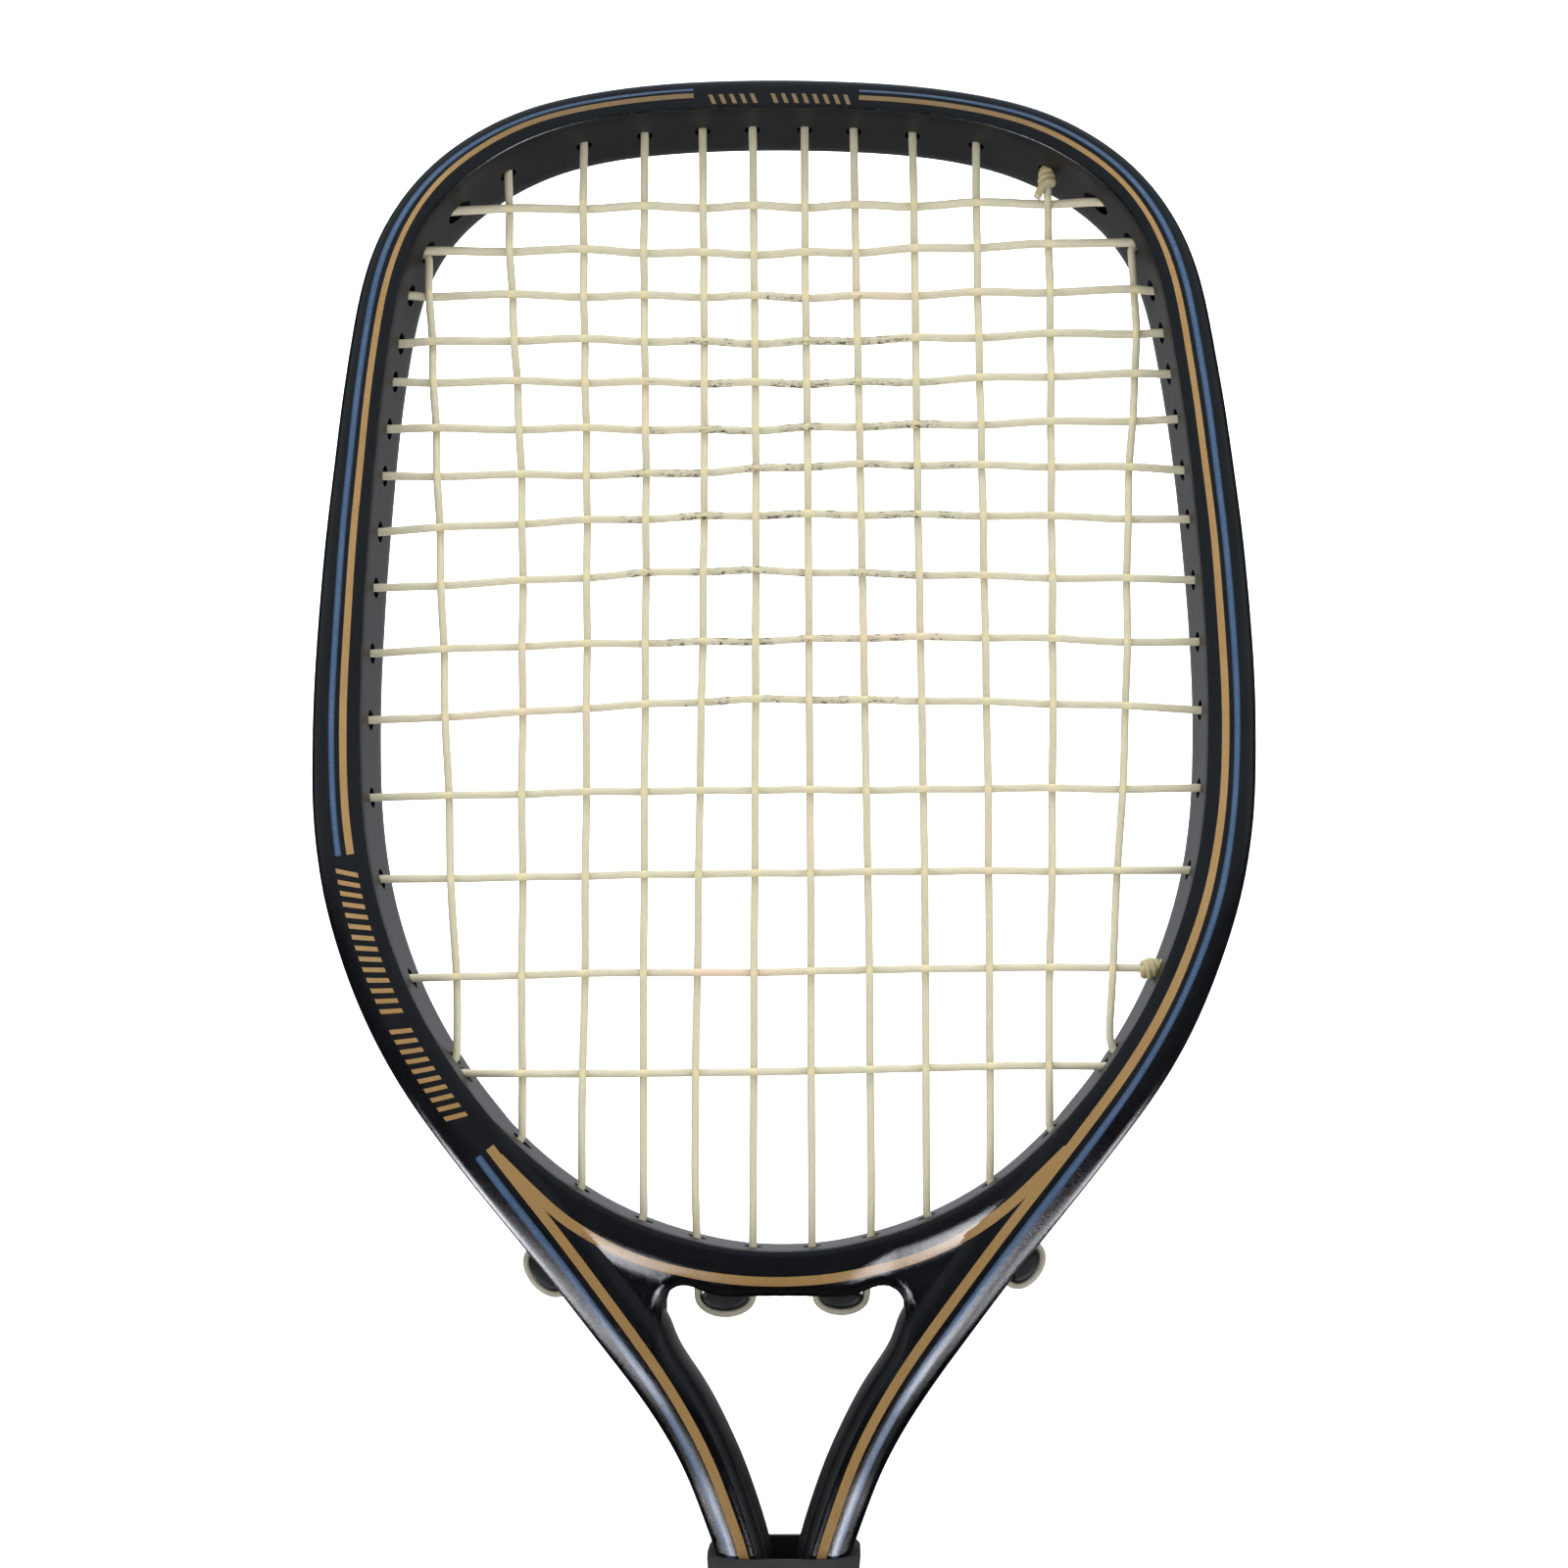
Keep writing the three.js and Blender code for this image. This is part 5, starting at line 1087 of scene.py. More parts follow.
strip_obs = {}
for name, ids in strips.items():
    rg = []
    n = len(ids)
    for q, i in enumerate(ids):
        e = min(1.0, (min(q, n - 1 - q) + 0.25) / 2.0)
        S = np.array(rail_section())
        S = np.stack([GROOVE + (S[:, 0] - GROOVE) * (0.35 + 0.65 * e), S[:, 1] * (0.6 + 0.4 * e)], 1)
        P = outer[i] + nin[i] * S[:, :1]
        rg.append(np.stack([P[:, 0], S[:, 1], P[:, 1]], 1))
    V, F = rings_mesh(rg)
    Vs, Fs, base = [V], list(F), len(V)
    zs = [outer[i] for i in ids]
    for h in holes:
        if h[2] is None:
            continue
        if min(np.linalg.norm(np.array(zs) - h[2], axis=1)) > 2.2:
            continue
        wall, d = h[0], h[1]
        L = np.linalg.norm(h[2] - wall)
        a, b = v3(h[2] - d * 0.75), v3(wall + d * min(2.6, L * 0.35))
        prof = []
        outr = tube(np.array([a + (b - a) * t for t in (0, 0.5, 0.96, 1.0)]), np.array([2.1, 2.05, 2.0, 1.9]), 18)[0]
        inr = tube(np.array([a + (b - a) * t for t in (0, 0.5, 0.96, 1.0)]), np.array([1.6, 1.5, 1.5, 1.65]), 18)[0]
        rr = outr + inr[::-1]
        v, f = rings_mesh(rr, cap=False, closed=True)
        Vs.append(v)
        Fs += [tuple(k + base for k in q) for q in f]
        base += len(v)
    strip_obs[name] = mesh_piece(name + "_fine", np.concatenate(Vs), Fs, BLACK, sharp=40)

# ------------------------------------------------------------------ saddles
for s in SAD:
    rx, rz = s["half"] - STRING_R * 0.75, s["rise"] - STRING_R * 0.85
    ys = np.array([-3.3, -3.25, -3.05, -2.6, -1.6, -0.95, -0.65, -0.3, 0.0, 0.3, 0.65, 0.95, 1.6, 2.6, 3.05, 3.25, 3.3])
    sc = np.array([-1.4, -0.75, -0.3, -0.05, 0.25, 0.25, 0.05, -0.12, -0.16, -0.12, 0.05, 0.25, 0.25, -0.05, -0.3, -0.75, -1.4]) - 0.12
    rg = []
    sink = 1.1
    for k in range(37):
        a = math.pi * k / 36
        ring = []
        for y, q in zip(ys, sc):
            p = s["mid"] - s["t"] * (rx + q) * math.cos(a) + s["out"] * (rz + q) * math.sin(a)
            ring.append((p[0], y, p[1]))
        for y in ys[::-1][1:-1]:
            p = s["mid"] - s["t"] * (rx - 1.4) * 0.9 * math.cos(a) - s["out"] * sink
            ring.append((p[0], y, p[1]))
        rg.append(np.array(ring))
    V, F = rings_mesh(rg)
    s["ob"] = mesh_piece(s["name"] + "_fine", V, F, SADDLE, sharp=50)


# ------------------------------------------------------------------ painted stripes
Z_ST = [470, 466, 456, 447, 438, 430, 415, 388, 336, 311, 296, 283, 257, 244, 228, 215, 205, 195, 185, 165, 150, 135, 100]
G0 = [6.1, 6.0, 5.6, 5.25, 5.4, 5.8, 5.95, 6.75, 7.45, 7.65, 7.7, 7.75, 8.4, 8.75, 8.6, 8.3, 8.0, 7.55, 7.1, 6.4, 5.8, 5.4, 5.0]
G1 = [7.3, 7.25, 6.9, 6.4, 6.6, 7.1, 7.6, 8.5, 9.35, 9.5, 9.65, 9.8, 10.8, 11.25, 11.3, 10.9, 10.6, 10.2, 9.75, 9.0, 8.4, 8.0, 7.6]
B0 = [5.0, 4.6, 3.9, 3.35, 3.2, 3.3, 3.6, 4.45, 5.35, 5.6, 5.5, 5.4, 6.1, 6.3, 5.7, 5.0, 4.6, 4.3, 3.9, 3.4, 3.0, 2.8, 2.6]
B1 = [5.85, 5.7, 5.1, 4.65, 4.6, 4.8, 5.1, 5.95, 6.6, 6.7, 6.55, 6.65, 7.55, 7.8, 7.6, 7.3, 6.9, 6.5, 6.0, 5.6, 5.2, 5.0, 4.8]
SIDE = np.sign(outer[:, 0] + 1e-9)
zz = np.array(Z_ST[::-1], float)


def table(vals):
    v = np.interp(outer[:, 1], zz, np.array(vals[::-1], float))
    return gauss(v, 4.0)


g0, g1, b0, b1 = table(G0), table(G1), table(B0), table(B1)
GOLD_R = [0.0, -0.05, -0.25, -0.05, 0.45, 1.00, 1.20, 1.05, 1.00, 0.70, 0.35, -0.10, -0.20, -0.30, -0.50, -0.60, -0.35, -0.05, -0.05, -0.20, -0.05, 0.05, 0.0, 0.05, 0.0, -0.05, 0.30, 0.25, 0.05, 0.0]
GOLD_L = [-0.50, -0.65, -0.75, -0.75, -0.40, 0.15, 0.30, 0.25, 0.05, -0.10, 0.0, 0.05, 0.15, 0.25, 0.15, 0.0, 0.0, -0.1, -0.2, -0.4, -0.6, -0.8, -1.0, -1.0, -0.9, -0.95, -0.55, -0.45, -0.55, 0.0]
BLUE_R = [-0.2, -0.2, -0.3, -0.15, 0.25, 0.85, 1.10, 1.20, 1.15, 0.65, 0.25, 0.0, -0.25, -0.5, -0.65, -0.8, -0.4, -0.2, -0.15, -0.2, 0.1, 0.15, 0.05, 0.2, 0.2, 0.25, 0.55, 0.3, -0.1, 0.0]
BLUE_L = [-0.6, -0.6, -0.6, -0.6, -0.1, 0.2, 0.3, 0.15, 0.2, 0.05, 0.05, 0.0, 0.15, 0.2, 0.05, -0.25, -0.05, -0.1, -0.3, -0.5, -0.7, -0.9, -1.0, -1.05, -0.95, -0.65, -0.55, -0.45, -0.65, 0.0]
GW = np.interp(outer[:, 1], [150, 200, 230, 260, 320, 400, 430, 470], [0.84, 0.82, 0.80, 0.84, 0.88, 0.80, 0.92, 0.85])
BW = np.interp(outer[:, 1], [150, 200, 230, 260, 290, 340, 380, 430, 450, 470], [0.78, 0.76, 0.86, 1.0, 1.3, 1.15, 1.0, 0.95, 0.9, 0.55])
gm, gh = (g0 + g1) / 2 + by_side(GOLD_R, GOLD_L) - trim, (g1 - g0) / 2 * GW
bm_, bh = (b0 + b1) / 2 + by_side(BLUE_R, BLUE_L) - trim, (b1 - b0) / 2 * BW
g0, g1, b0, b1 = gm - gh, gm + gh, bm_ - bh, bm_ + bh
g1 = np.minimum(g1, w - 0.7)
LIFT = 0.035


def on_face(i, u, back=False, lift=LIFT):
    """Point just off the beam's face at (fractional) station i and distance u from the outer contour."""
    k = min(len(outer) - 2, max(0, int(i)))
    f = i - k
    O = outer[k] * (1 - f) + outer[k + 1] * f
    N = unit(nin[k] * (1 - f) + nin[k + 1] * f)
    wi = w[k] * (1 - f) + w[k + 1] * f
    h = front_y(u, wi)
    dh = (front_y(u + 0.05, wi) - front_y(u - 0.05, wi)) / 0.1
    nrm = np.array([-dh, 1.0]) / math.hypot(dh, 1)
    u2, h2 = u + nrm[0] * lift, h + nrm[1] * lift
    P = O + N * u2
    return np.array([P[0], h2 if back else -h2, P[1]])


def band(i0, i1, lo, hi, back=False, n_u=5, taper=True):
    """A thin closed ribbon between distances lo(i) and hi(i)."""
    n = max(3, int(abs(i1 - i0)))
    st = np.linspace(i0, i1, n + 1)
    rg = []
    for q, i in enumerate(st):
        a, b = np.interp(i, idx, lo), np.interp(i, idx, hi)
        us = np.linspace(a, b, n_u)
        ring = [on_face(i, u, back) for u in us]
        ring += [on_face(i, us[-1] - 0.03, back, -0.12), on_face(i, us[0] + 0.03, back, -0.12)]
        rg.append(np.array(ring))
    V, F = rings_mesh(rg)
    return V, F


def gather(parts, name, mat):
    Vs, Fs, base = [], [], 0
    for v, f in parts:
        Vs.append(v)
        Fs += [tuple(i + base for i in q) for q in f]
        base += len(v)
    # a ribbon's ring is five points across its face and two behind it
    across = np.concatenate([np.tile([0, 0.25, 0.5, 0.75, 1, 1, 0], len(v) // 7) if len(v) % 7 == 0 else np.full(len(v), 0.5) for v, f in parts])
    return mesh_piece(name, np.concatenate(Vs), Fs, mat, sharp=50, attrs={"across": across})


def at_z(z, side, nearest_top=False):
    c = [i for i in range(len(outer)) if SIDE[i] == side]
    return min(c, key=lambda i: abs(outer[i][1] - z))


def at_x(x):
    c = [i for i in range(len(outer)) if outer[i][1] > 440]
    return min(c, key=lambda i: abs(outer[i][0] - x))


END_Z = 126.0
rt0, lt0 = at_x(17.6), at_x(-19.6)
r_end, l_end = at_z(END_Z, 1), at_z(END_Z, -1)
l_stop, l_again = at_z(293.0, -1), at_z(223.2, -1)
l_again_b = at_z(222.4, -1)
gold, blue = [], []
for back in (False, True):
    gold += [band(rt0, r_end, g0, g1, back), band(lt0, l_stop, g0, g1, back), band(l_again, l_end, g0, g1, back)]
    blue += [band(rt0, r_end, b0, b1, back), band(lt0, l_stop, b0, b1, back), band(l_again_b, l_end, b0, b1, back)]

# Generic slanted bars where the beam carries its decoration: lower left and centre top.
def bars(i0, i1, count, ulo, uhi, slant, fill, back, gap=()):
    out = []
    for k in range(count):
        if k in gap:
            continue
        a = i0 + (i1 - i0) * (k + 0.5) / count
        half = abs(i1 - i0) / count * fill / 2
        rg = []
        for u in np.linspace(ulo, uhi, 7):
            sh = (u - (ulo + uhi) / 2) / (uhi - ulo) * slant
            row = [on_face(a + sh + t, u, back) for t in np.linspace(-half, half, 5)]
            row += [on_face(a + sh + half * 0.96, u, back, -0.12), on_face(a + sh - half * 0.96, u, back, -0.12)]
            rg.append(np.array(row))
        out.append(rings_mesh(rg))
    return out


for back in (False, True):
    s0, s1 = at_z(289.5, -1), at_z(230.5, -1)
    gold += bars(s0, s1, 25, 5.1, 9.8, 1.3 if s1 > s0 else -1.3, 0.44, back, (14,))
    t0, t1 = at_x(-17.5), at_x(15.5)
    gold += bars(t0, t1, 14, 5.1, 7.2, 0.6, 0.42, back, (5,))

# The gold band of the yoke, from shoulder to shoulder.
GX = np.array([0, 4.4, 8.8, 13.1, 17.5, 21.9, 26.2, 30.6, 35, 39.4, 43.7, 48.1, 52.7, 57.5, 63.6])
GZ = np.array([198.6, 198.7, 198.95, 199.45, 200.2, 201.1, 202.1, 203.4, 205.1, 207.2, 209.8, 213.0, 217.1, 221.8, 227.9])
GDX = [-63.6, -57.5, -52.7, -48, -44, -36, -28, -20, -12, 0, 12, 20, 28, 36, 44, 48, 52.7, 57.5, 63.6]
GDZ = [-1.5, -1.5, -1.35, -1.0, -0.6, -0.5, -0.4, -0.4, -0.15, -0.03, 0.22, 0.42, 0.6, 0.85, 0.9, 0.8, 0.6, 0.5, 0.4]
gpath = even(fair(spline(np.concatenate([np.stack([-GX[::-1], GZ[::-1]], 1), np.stack([GX[1:], GZ[1:]], 1)]), 0.5), 6), 1.2)
from mathutils.bvhtree import BVHTree

bm = bmesh.new()
bm.from_mesh(shell.data)
tree = BVHTree.FromBMesh(bm)


def drape(x, z, back, lift):
    y = SEAT[1] * MM + (0.03 if back else -0.03)
    hit_p, nrm, _, _ = tree.ray_cast(Vector((x * MM, y, z * MM)), Vector((0, -1 if back else 1, 0)))
    if hit_p is None:
        return np.array([x, (HALF if back else -HALF), z])
    q = np.array(hit_p) / MM - SEAT
    return q + np.array([0, lift if back else -lift, 0])


gpath[:, 1] += np.interp(gpath[:, 0], GDX, GDZ)
tg = np.gradient(gpath, axis=0)
tg /= np.linalg.norm(tg, axis=1)[:, None]
ng = np.stack([-tg[:, 1], tg[:, 0]], 1)
for back in (False, True):
    rg = []
    for p, n_, in zip(gpath, ng):
        hw = 1.08 + 0.06 * smoothstep((abs(p[0]) - 30) / 20)
        us = np.linspace(-hw, hw, 7)
        ring = [drape(*(p + n_ * u), back, 0.045) for u in us]
        ring += [drape(*(p + n_ * u), back, -0.15) for u in (hw - 0.05, -hw + 0.05)]
        rg.append(np.array(ring))
    gold.append(rings_mesh(rg))
bm.free()
gold_ob = gather(gold, "stripe_gold_band", GOLD)
blue_ob = gather(blue, "stripe_blue_band", BLUE)


# ------------------------------------------------------------------ handle
def round_oct(hx, hy, n=160, corner=0.38, soft=2.6):
    """Rounded eight-sided outline as n points."""
    a = (np.arange(n) / n) * 2 * math.pi
    cx_, cy_ = hx * corner, hy * corner
    r = np.full(n, 1e9)
    for nx, ny, d in [(1, 0, hx), (-1, 0, hx), (0, 1, hy), (0, -1, hy)]:
        k = nx * np.cos(a) + ny * np.sin(a)
        with np.errstate(divide="ignore"):
            r = np.where(k > 1e-6, np.minimum(r, d / np.maximum(k, 1e-6)), r)
    dn = np.array([cy_, cx_])
    dn = dn / np.linalg.norm(dn)
    dd = dn[0] * hx + dn[1] * (hy - cy_)
    for sx in (1, -1):
        for sy in (1, -1):
            k = sx * dn[0] * np.cos(a) + sy * dn[1] * np.sin(a)
            r = np.where(k > 1e-6, np.minimum(r, dd / np.maximum(k, 1e-6)), r)
    rr = np.concatenate([r[-12:], r, r[:12]])
    r = gauss(rr, soft)[12:-12]
    return np.stack([r * np.cos(a), r * np.sin(a)], 1), a


GT, BT = 128.0, 25.0
N = 176
zs = np.linspace(BT + 0.2, GT, 330)
PITCH = 21.0
rg, along, around, seam, sx_, sy_ = [], [], [], [], [], []
for z in zs:
    t = (z - BT) / (GT - BT)
    hx = 15.35 + 0.25 * (2 * t - 1) ** 2 + 0.5 * smoothstep((0.1 - t) / 0.1)
    hy = 13.65 + 0.25 * (2 * t - 1) ** 2 + 0.5 * smoothstep((0.1 - t) / 0.1)
    O, a = round_oct(hx, hy, N)
    ph = ((z - BT) / PITCH - a / (2 * math.pi)) % 1.0
    # the strip's lower edge is skived under the next turn: a low shoulder, then a sharp little step
    step_h = 0.36 * np.exp(-((ph - 0.0) * PITCH / 2.6)) * (1 - np.exp(-ph * PITCH / 0.35)) + 0.10 * np.sin(ph * math.pi)
    ditch = -0.42 * np.exp(-(((np.minimum(ph, 1 - ph)) * PITCH / 0.38) ** 2))
    r = np.linalg.norm(O, axis=1)
    O = O * (1 + (step_h + ditch) / r)[:, None]
    rg.append(np.concatenate([O, np.full((N, 1), z)], 1))
    along += [z] * N
    around += list(a / (2 * math.pi))
    seam += list(np.exp(-(((np.minimum(ph, 1 - ph)) * PITCH / 1.5) ** 2)))
    sx_ += list(a / (2 * math.pi) * 96.0)
    sy_ += list(ph * PITCH)
inner_rings = []
for z in (GT, BT + 0.2):
    O, a = round_oct(13.9 if z > 60 else 14.6, 12.2 if z > 60 else 12.8, N)
    inner_rings.append(np.concatenate([O, np.full((N, 1), z)], 1))
    along += [z] * N
    around += list(a / (2 * math.pi))
    seam += [0.0] * N
    sx_ += [0.0] * N
    sy_ += [0.0] * N
V, F = rings_mesh(rg + inner_rings, cap=False, closed=True)
grip = mesh_piece("grip_leather_wrap", V, F, LEATHER, sharp=55, attrs={"along": along, "around": around, "seam": seam, "strip_x": sx_, "strip_y": sy_})


def sleeve(name, rows, inner_rows, mat, corner=0.38, soft=2.6, n=144, sharp=40):
    """Closed sleeve from outer rows and inner rows of (z, half x, half y)."""
    rg = []
    for z, hx, hy in list(rows) + list(inner_rows)[::-1]:
        O, a = round_oct(hx, hy, n, corner, soft)
        rg.append(np.concatenate([O, np.full((n, 1), z)], 1))
    V, F = rings_mesh(rg, cap=False, closed=True)
    return mesh_piece(name, V, F, mat, sharp=sharp)


tape_rows = [(115.9, 15.75, 14.05), (116.0, 15.95, 14.25), (118.0, 15.98, 14.28), (120.2, 15.92, 14.22), (120.6, 16.12, 14.42), (123.0, 16.14, 14.44), (124.9, 16.08, 14.38), (125.05, 15.9, 14.2)]
tape = sleeve("finishing_tape_fine", tape_rows, [(116.0, 15.0, 13.4), (125.0, 15.0, 13.4)], TAPE)
col = []
for z, hx, hy in [(127.2, 16.9, 14.6), (127.6, 17.15, 14.85), (129.2, 17.2, 14.7), (129.7, 16.85, 14.3), (130.2, 17.15, 14.4), (131.7, 17.1, 14.0), (132.2, 16.75, 13.6), (132.7, 17.05, 13.65), (134.2, 17.15, 13.0), (135.6, 17.3, 12.3), (136.5, 17.3, 11.6), (136.9, 17.0, 11.2)]:
    col.append((z, hx, hy))
collar = sleeve("grip_collar_fine", col, [(127.3, 15.2, 12.6), (136.8, 15.4, 9.9)], RUBBER, corner=0.34)

# Butt cap: one loft round the rim, into the recess, through the cord hole and up the inside of the cup.
def ring_at(z, hx, hy, k=0.0, n=160, corner=0.38):
    O, a = round_oct(hx, hy, n, corner, 2.8)
    Cc = np.stack([np.cos(a), np.sin(a)], 1) * (hx if k else 1)
    O = O * (1 - k) + Cc * k
    return np.concatenate([O, np.full((n, 1), z)], 1)


rows = [(25.0, 14.9, 13.1, 0), (25.15, 15.6, 13.8, 0), (24.9, 15.95, 14.15, 0), (22, 16.15, 14.4, 0), (17, 16.6, 14.85, 0), (13.4, 17.1, 15.3, 0), (12.6, 16.85, 15.05, 0), (12.2, 16.85, 15.05, 0), (11.5, 17.35, 15.5, 0), (8.5, 18.1, 16.2, 0), (6.2, 18.5, 16.5, 0), (3.0, 18.6, 16.6, 0), (1.4, 18.45, 16.45, 0), (0.5, 18.0, 16.0, 0), (0.1, 17.3, 15.3, 0), (0.0, 16.6, 14.6, 0), (0.0, 14.2, 12.2, 0), (0.15, 13.6, 11.6, 0), (0.6, 13.3, 11.3, 0), (4.2, 12.8, 10.8, 0), (4.6, 12.3, 10.3, 0), (4.65, 8.0, 7.4, 0.4), (4.65, 5.4, 5.4, 1), (4.9, 4.85, 4.85, 1), (5.6, 4.7, 4.7, 1), (8.1, 4.7, 4.7, 1), (8.2, 5.2, 5.2, 1), (8.2, 13.6, 11.8, 0), (9, 14.6, 12.8, 0), (24, 14.5, 12.7, 0)]
rg = [ring_at(z, a, b, k) for z, a, b, k in rows]
V, F = rings_mesh(rg, cap=False, closed=True)
cap = mesh_piece("butt_cap_fine", V, F, CAP)
nt = []
for x, hw, hh in ((8.5, 4.3, 4.4), (26.0, 4.6, 4.7)):
    pr = []
    for k in range(28):
        a = 2 * math.pi * k / 28
        y = hw * np.sign(math.cos(a)) * abs(math.cos(a)) ** 0.6
        z = hh * np.sign(math.sin(a)) * abs(math.sin(a)) ** 0.6
        pr.append((x, y, z))
    nt.append(np.array(pr))
V, F = rings_mesh(nt)
cut = mesh_piece("cutter", V, F, CAP)
boolean(cap, cut)
drop(cut)
cap.data.shade_smooth()
cap.data.set_sharp_from_angle(angle=math.radians(32))

# Domed tacks.
tacks = []
for name, sy in (("butt_tack_front", -1), ("butt_tack_back", 1)):
    prof = [(0.0, 1.05), (0.5, 1.02), (1.1, 0.9), (1.7, 0.66), (2.1, 0.36), (2.3, 0.08), (2.28, -0.05), (2.0, -0.1), (0.8, -0.12), (0.72, -1.4), (0.0, -1.7)]
    rg = []
    n = 28
    for r, hgt in prof:
        a = np.arange(n) / n * 2 * math.pi
        rg.append(np.stack([np.cos(a) * max(r, 1e-3), np.full(n, sy * (14.95 + hgt)), 19.4 + np.sin(a) * max(r, 1e-3)], 1))
    V, F = rings_mesh(rg)
    tacks.append(mesh_piece(name + "_fine", V, F, STEEL, sharp=50))

# ------------------------------------------------------------------ wrist cord
CZ, SY = 2.6, 2.1
def cord_tube(P, name, r=1.42):
    P = even(spline(np.array(P, float), 0.5), 0.55)
    sides = 20

    def prof(a, s):
        return 1 + 0.035 * np.abs(np.sin(2 * a + s * 1.2)) + 0.035 * np.abs(np.sin(2 * a - s * 1.2)) - 0.02

    rings, al, ar = tube(P, r, sides, 0.0, prof)
    V, F = rings_mesh(rings)
    return mesh_piece(name, V, F, CORD, attrs={"along": al, "around": ar})


loop = [(20.2, SY, CZ), (24, SY, CZ), (36, SY, CZ), (48, SY, CZ), (60, SY, CZ), (70, SY + 0.1, CZ)]
cxx, rx, ry = (72 + 158) / 2 + 8, (158 - 72) / 2 - 8, 27.0
arcp = []
n = 22
for i in range(1, n):
    a = math.pi * 0.93 - (i / n) * math.pi * 1.86
    k = min(1.0, min(i, n - i) / 3)
    arcp.append((cxx + rx * math.cos(a), ry * math.sin(a) * (0.82 + 0.18 * k), CZ))
arcp[0] = (arcp[0][0] - 0.5, arcp[0][1] * 0.92, CZ)
arcp[-1] = (arcp[-1][0] - 0.5, arcp[-1][1] * 0.92, CZ)
loop += arcp
loop += [(70, -SY - 0.1, CZ), (60, -SY, CZ), (48, -SY, CZ), (36, -SY, CZ), (24, -SY, CZ), (20.2, -SY, CZ)]
cord = cord_tube(loop, "wrist_cord_fine")
anchor = []
for s in (1, -1):
    anchor.append(cord_tube([(20.2, s * SY, CZ), (16, s * SY, CZ), (12, s * SY, CZ), (7.2, s * SY * 0.95, CZ), (3.9, s * 1.85, 3.2), (1.6, s * 1.7, 4.9), (0.5, s * 1.65, 7.0), (0.1, s * 1.6, 9.6), (0, s * 1.2, 12.6)], "cord_anchor_strand_" + ("a" if s > 0 else "b")))
# overhand stopper knot above the washer
kn3 = []
for k in range(60):
    a = k / 59 * 2 * math.pi * 1.9
    kn3.append((2.5 * math.cos(a) * (1 + 0.16 * math.sin(1.5 * a)), 2.5 * math.sin(a) * (1 + 0.16 * math.sin(1.5 * a)), 13.4 + 1.25 * math.sin(1.5 * a + 0.6)))
knot = cord_tube(kn3, "cord_anchor_knot", 1.35)

# Sliding toggle: an oval barrel with grip ribs and two bores.
TX, TL = 44.0, 17.0
rg = []
n = 96
aa = np.arange(n) / n * 2 * math.pi
for q in np.concatenate([[0.0, 0.012, 0.04], np.linspace(0.08, 0.92, 57), [0.96, 0.988, 1.0]]):
    x = TX - TL / 2 + TL * q
    e = min(q, 1 - q) * TL
    edge = 1 - 0.16 * (1 - smoothstep(e / 1.1))
    rib = 0.028 * (math.cos(2 * math.pi * (x - TX) / 1.9) if abs(x - TX) < 5.7 else 0.6)
    hy, hz = 5.35 * edge * (1 + rib), 2.42 * edge * (1 + rib)
    p = 2.6
    cy = np.sign(np.cos(aa)) * np.abs(np.cos(aa)) ** (2 / p)
    cz = np.sign(np.sin(aa)) * np.abs(np.sin(aa)) ** (2 / p)
    rg.append(np.stack([np.full(n, x), hy * cy, CZ + hz * cz], 1))
V, F = rings_mesh(rg)
tog = mesh_piece("cord_toggle_fine", V, F, TOGGLE)
for s in (1, -1):
    rr_ = tube(np.array([(TX - 12, s * SY, CZ), (TX + 12, s * SY, CZ)]), 1.72, 24)[0]
    V, F = rings_mesh(rr_)
    cut = mesh_piece("cutter", V, F, TOGGLE)
    boolean(tog, cut)
    drop(cut)
tog.data.shade_smooth()
tog.data.set_sharp_from_angle(angle=math.radians(35))

# ------------------------------------------------------------------ who rides on what, and what each piece stands for
def place(ob, body, nodes):
    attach(ob, body)
    if nodes:
        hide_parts(*nodes)


place(shell, "racket", ["graphite_frame", "throat_bridge"])
place(gold_ob, "racket", [])
place(blue_ob, "racket", [])
place(string, "racket", ["string"])
for name, ob in strip_obs.items():
    place(ob, "racket", [name])
for s in SAD:
    place(s["ob"], "racket", [s["name"]])
place(grip, "racket", ["grip_wrap"])
place(tape, "racket", ["finishing_tape"])
place(collar, "racket", ["grip_collar"])
place(cap, "racket", ["butt_cap"])
place(tacks[0], "racket", ["butt_tack_front"])
place(tacks[1], "racket", ["butt_tack_back"])
place(knot, "racket", ["cord_anchor"])
for ob in anchor:
    place(ob, "racket", [])
place(cord, "wrist_loop", ["wrist_cord"])
place(tog, "toggle", ["cord_toggle"])

for node, mat in {"shaft_foam_right": FOAM, "shaft_foam_left": FOAM, "leg_spacer": WOOD, "handle_pallet_front": PALLET, "handle_pallet_back": PALLET, "cord_washer": STEEL}.items():
    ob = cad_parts[node]
    ob = ob if isinstance(ob, bpy.types.Object) else bpy.data.objects[ob]
    ob.data.materials.clear()
    ob.data.materials.append(mat)

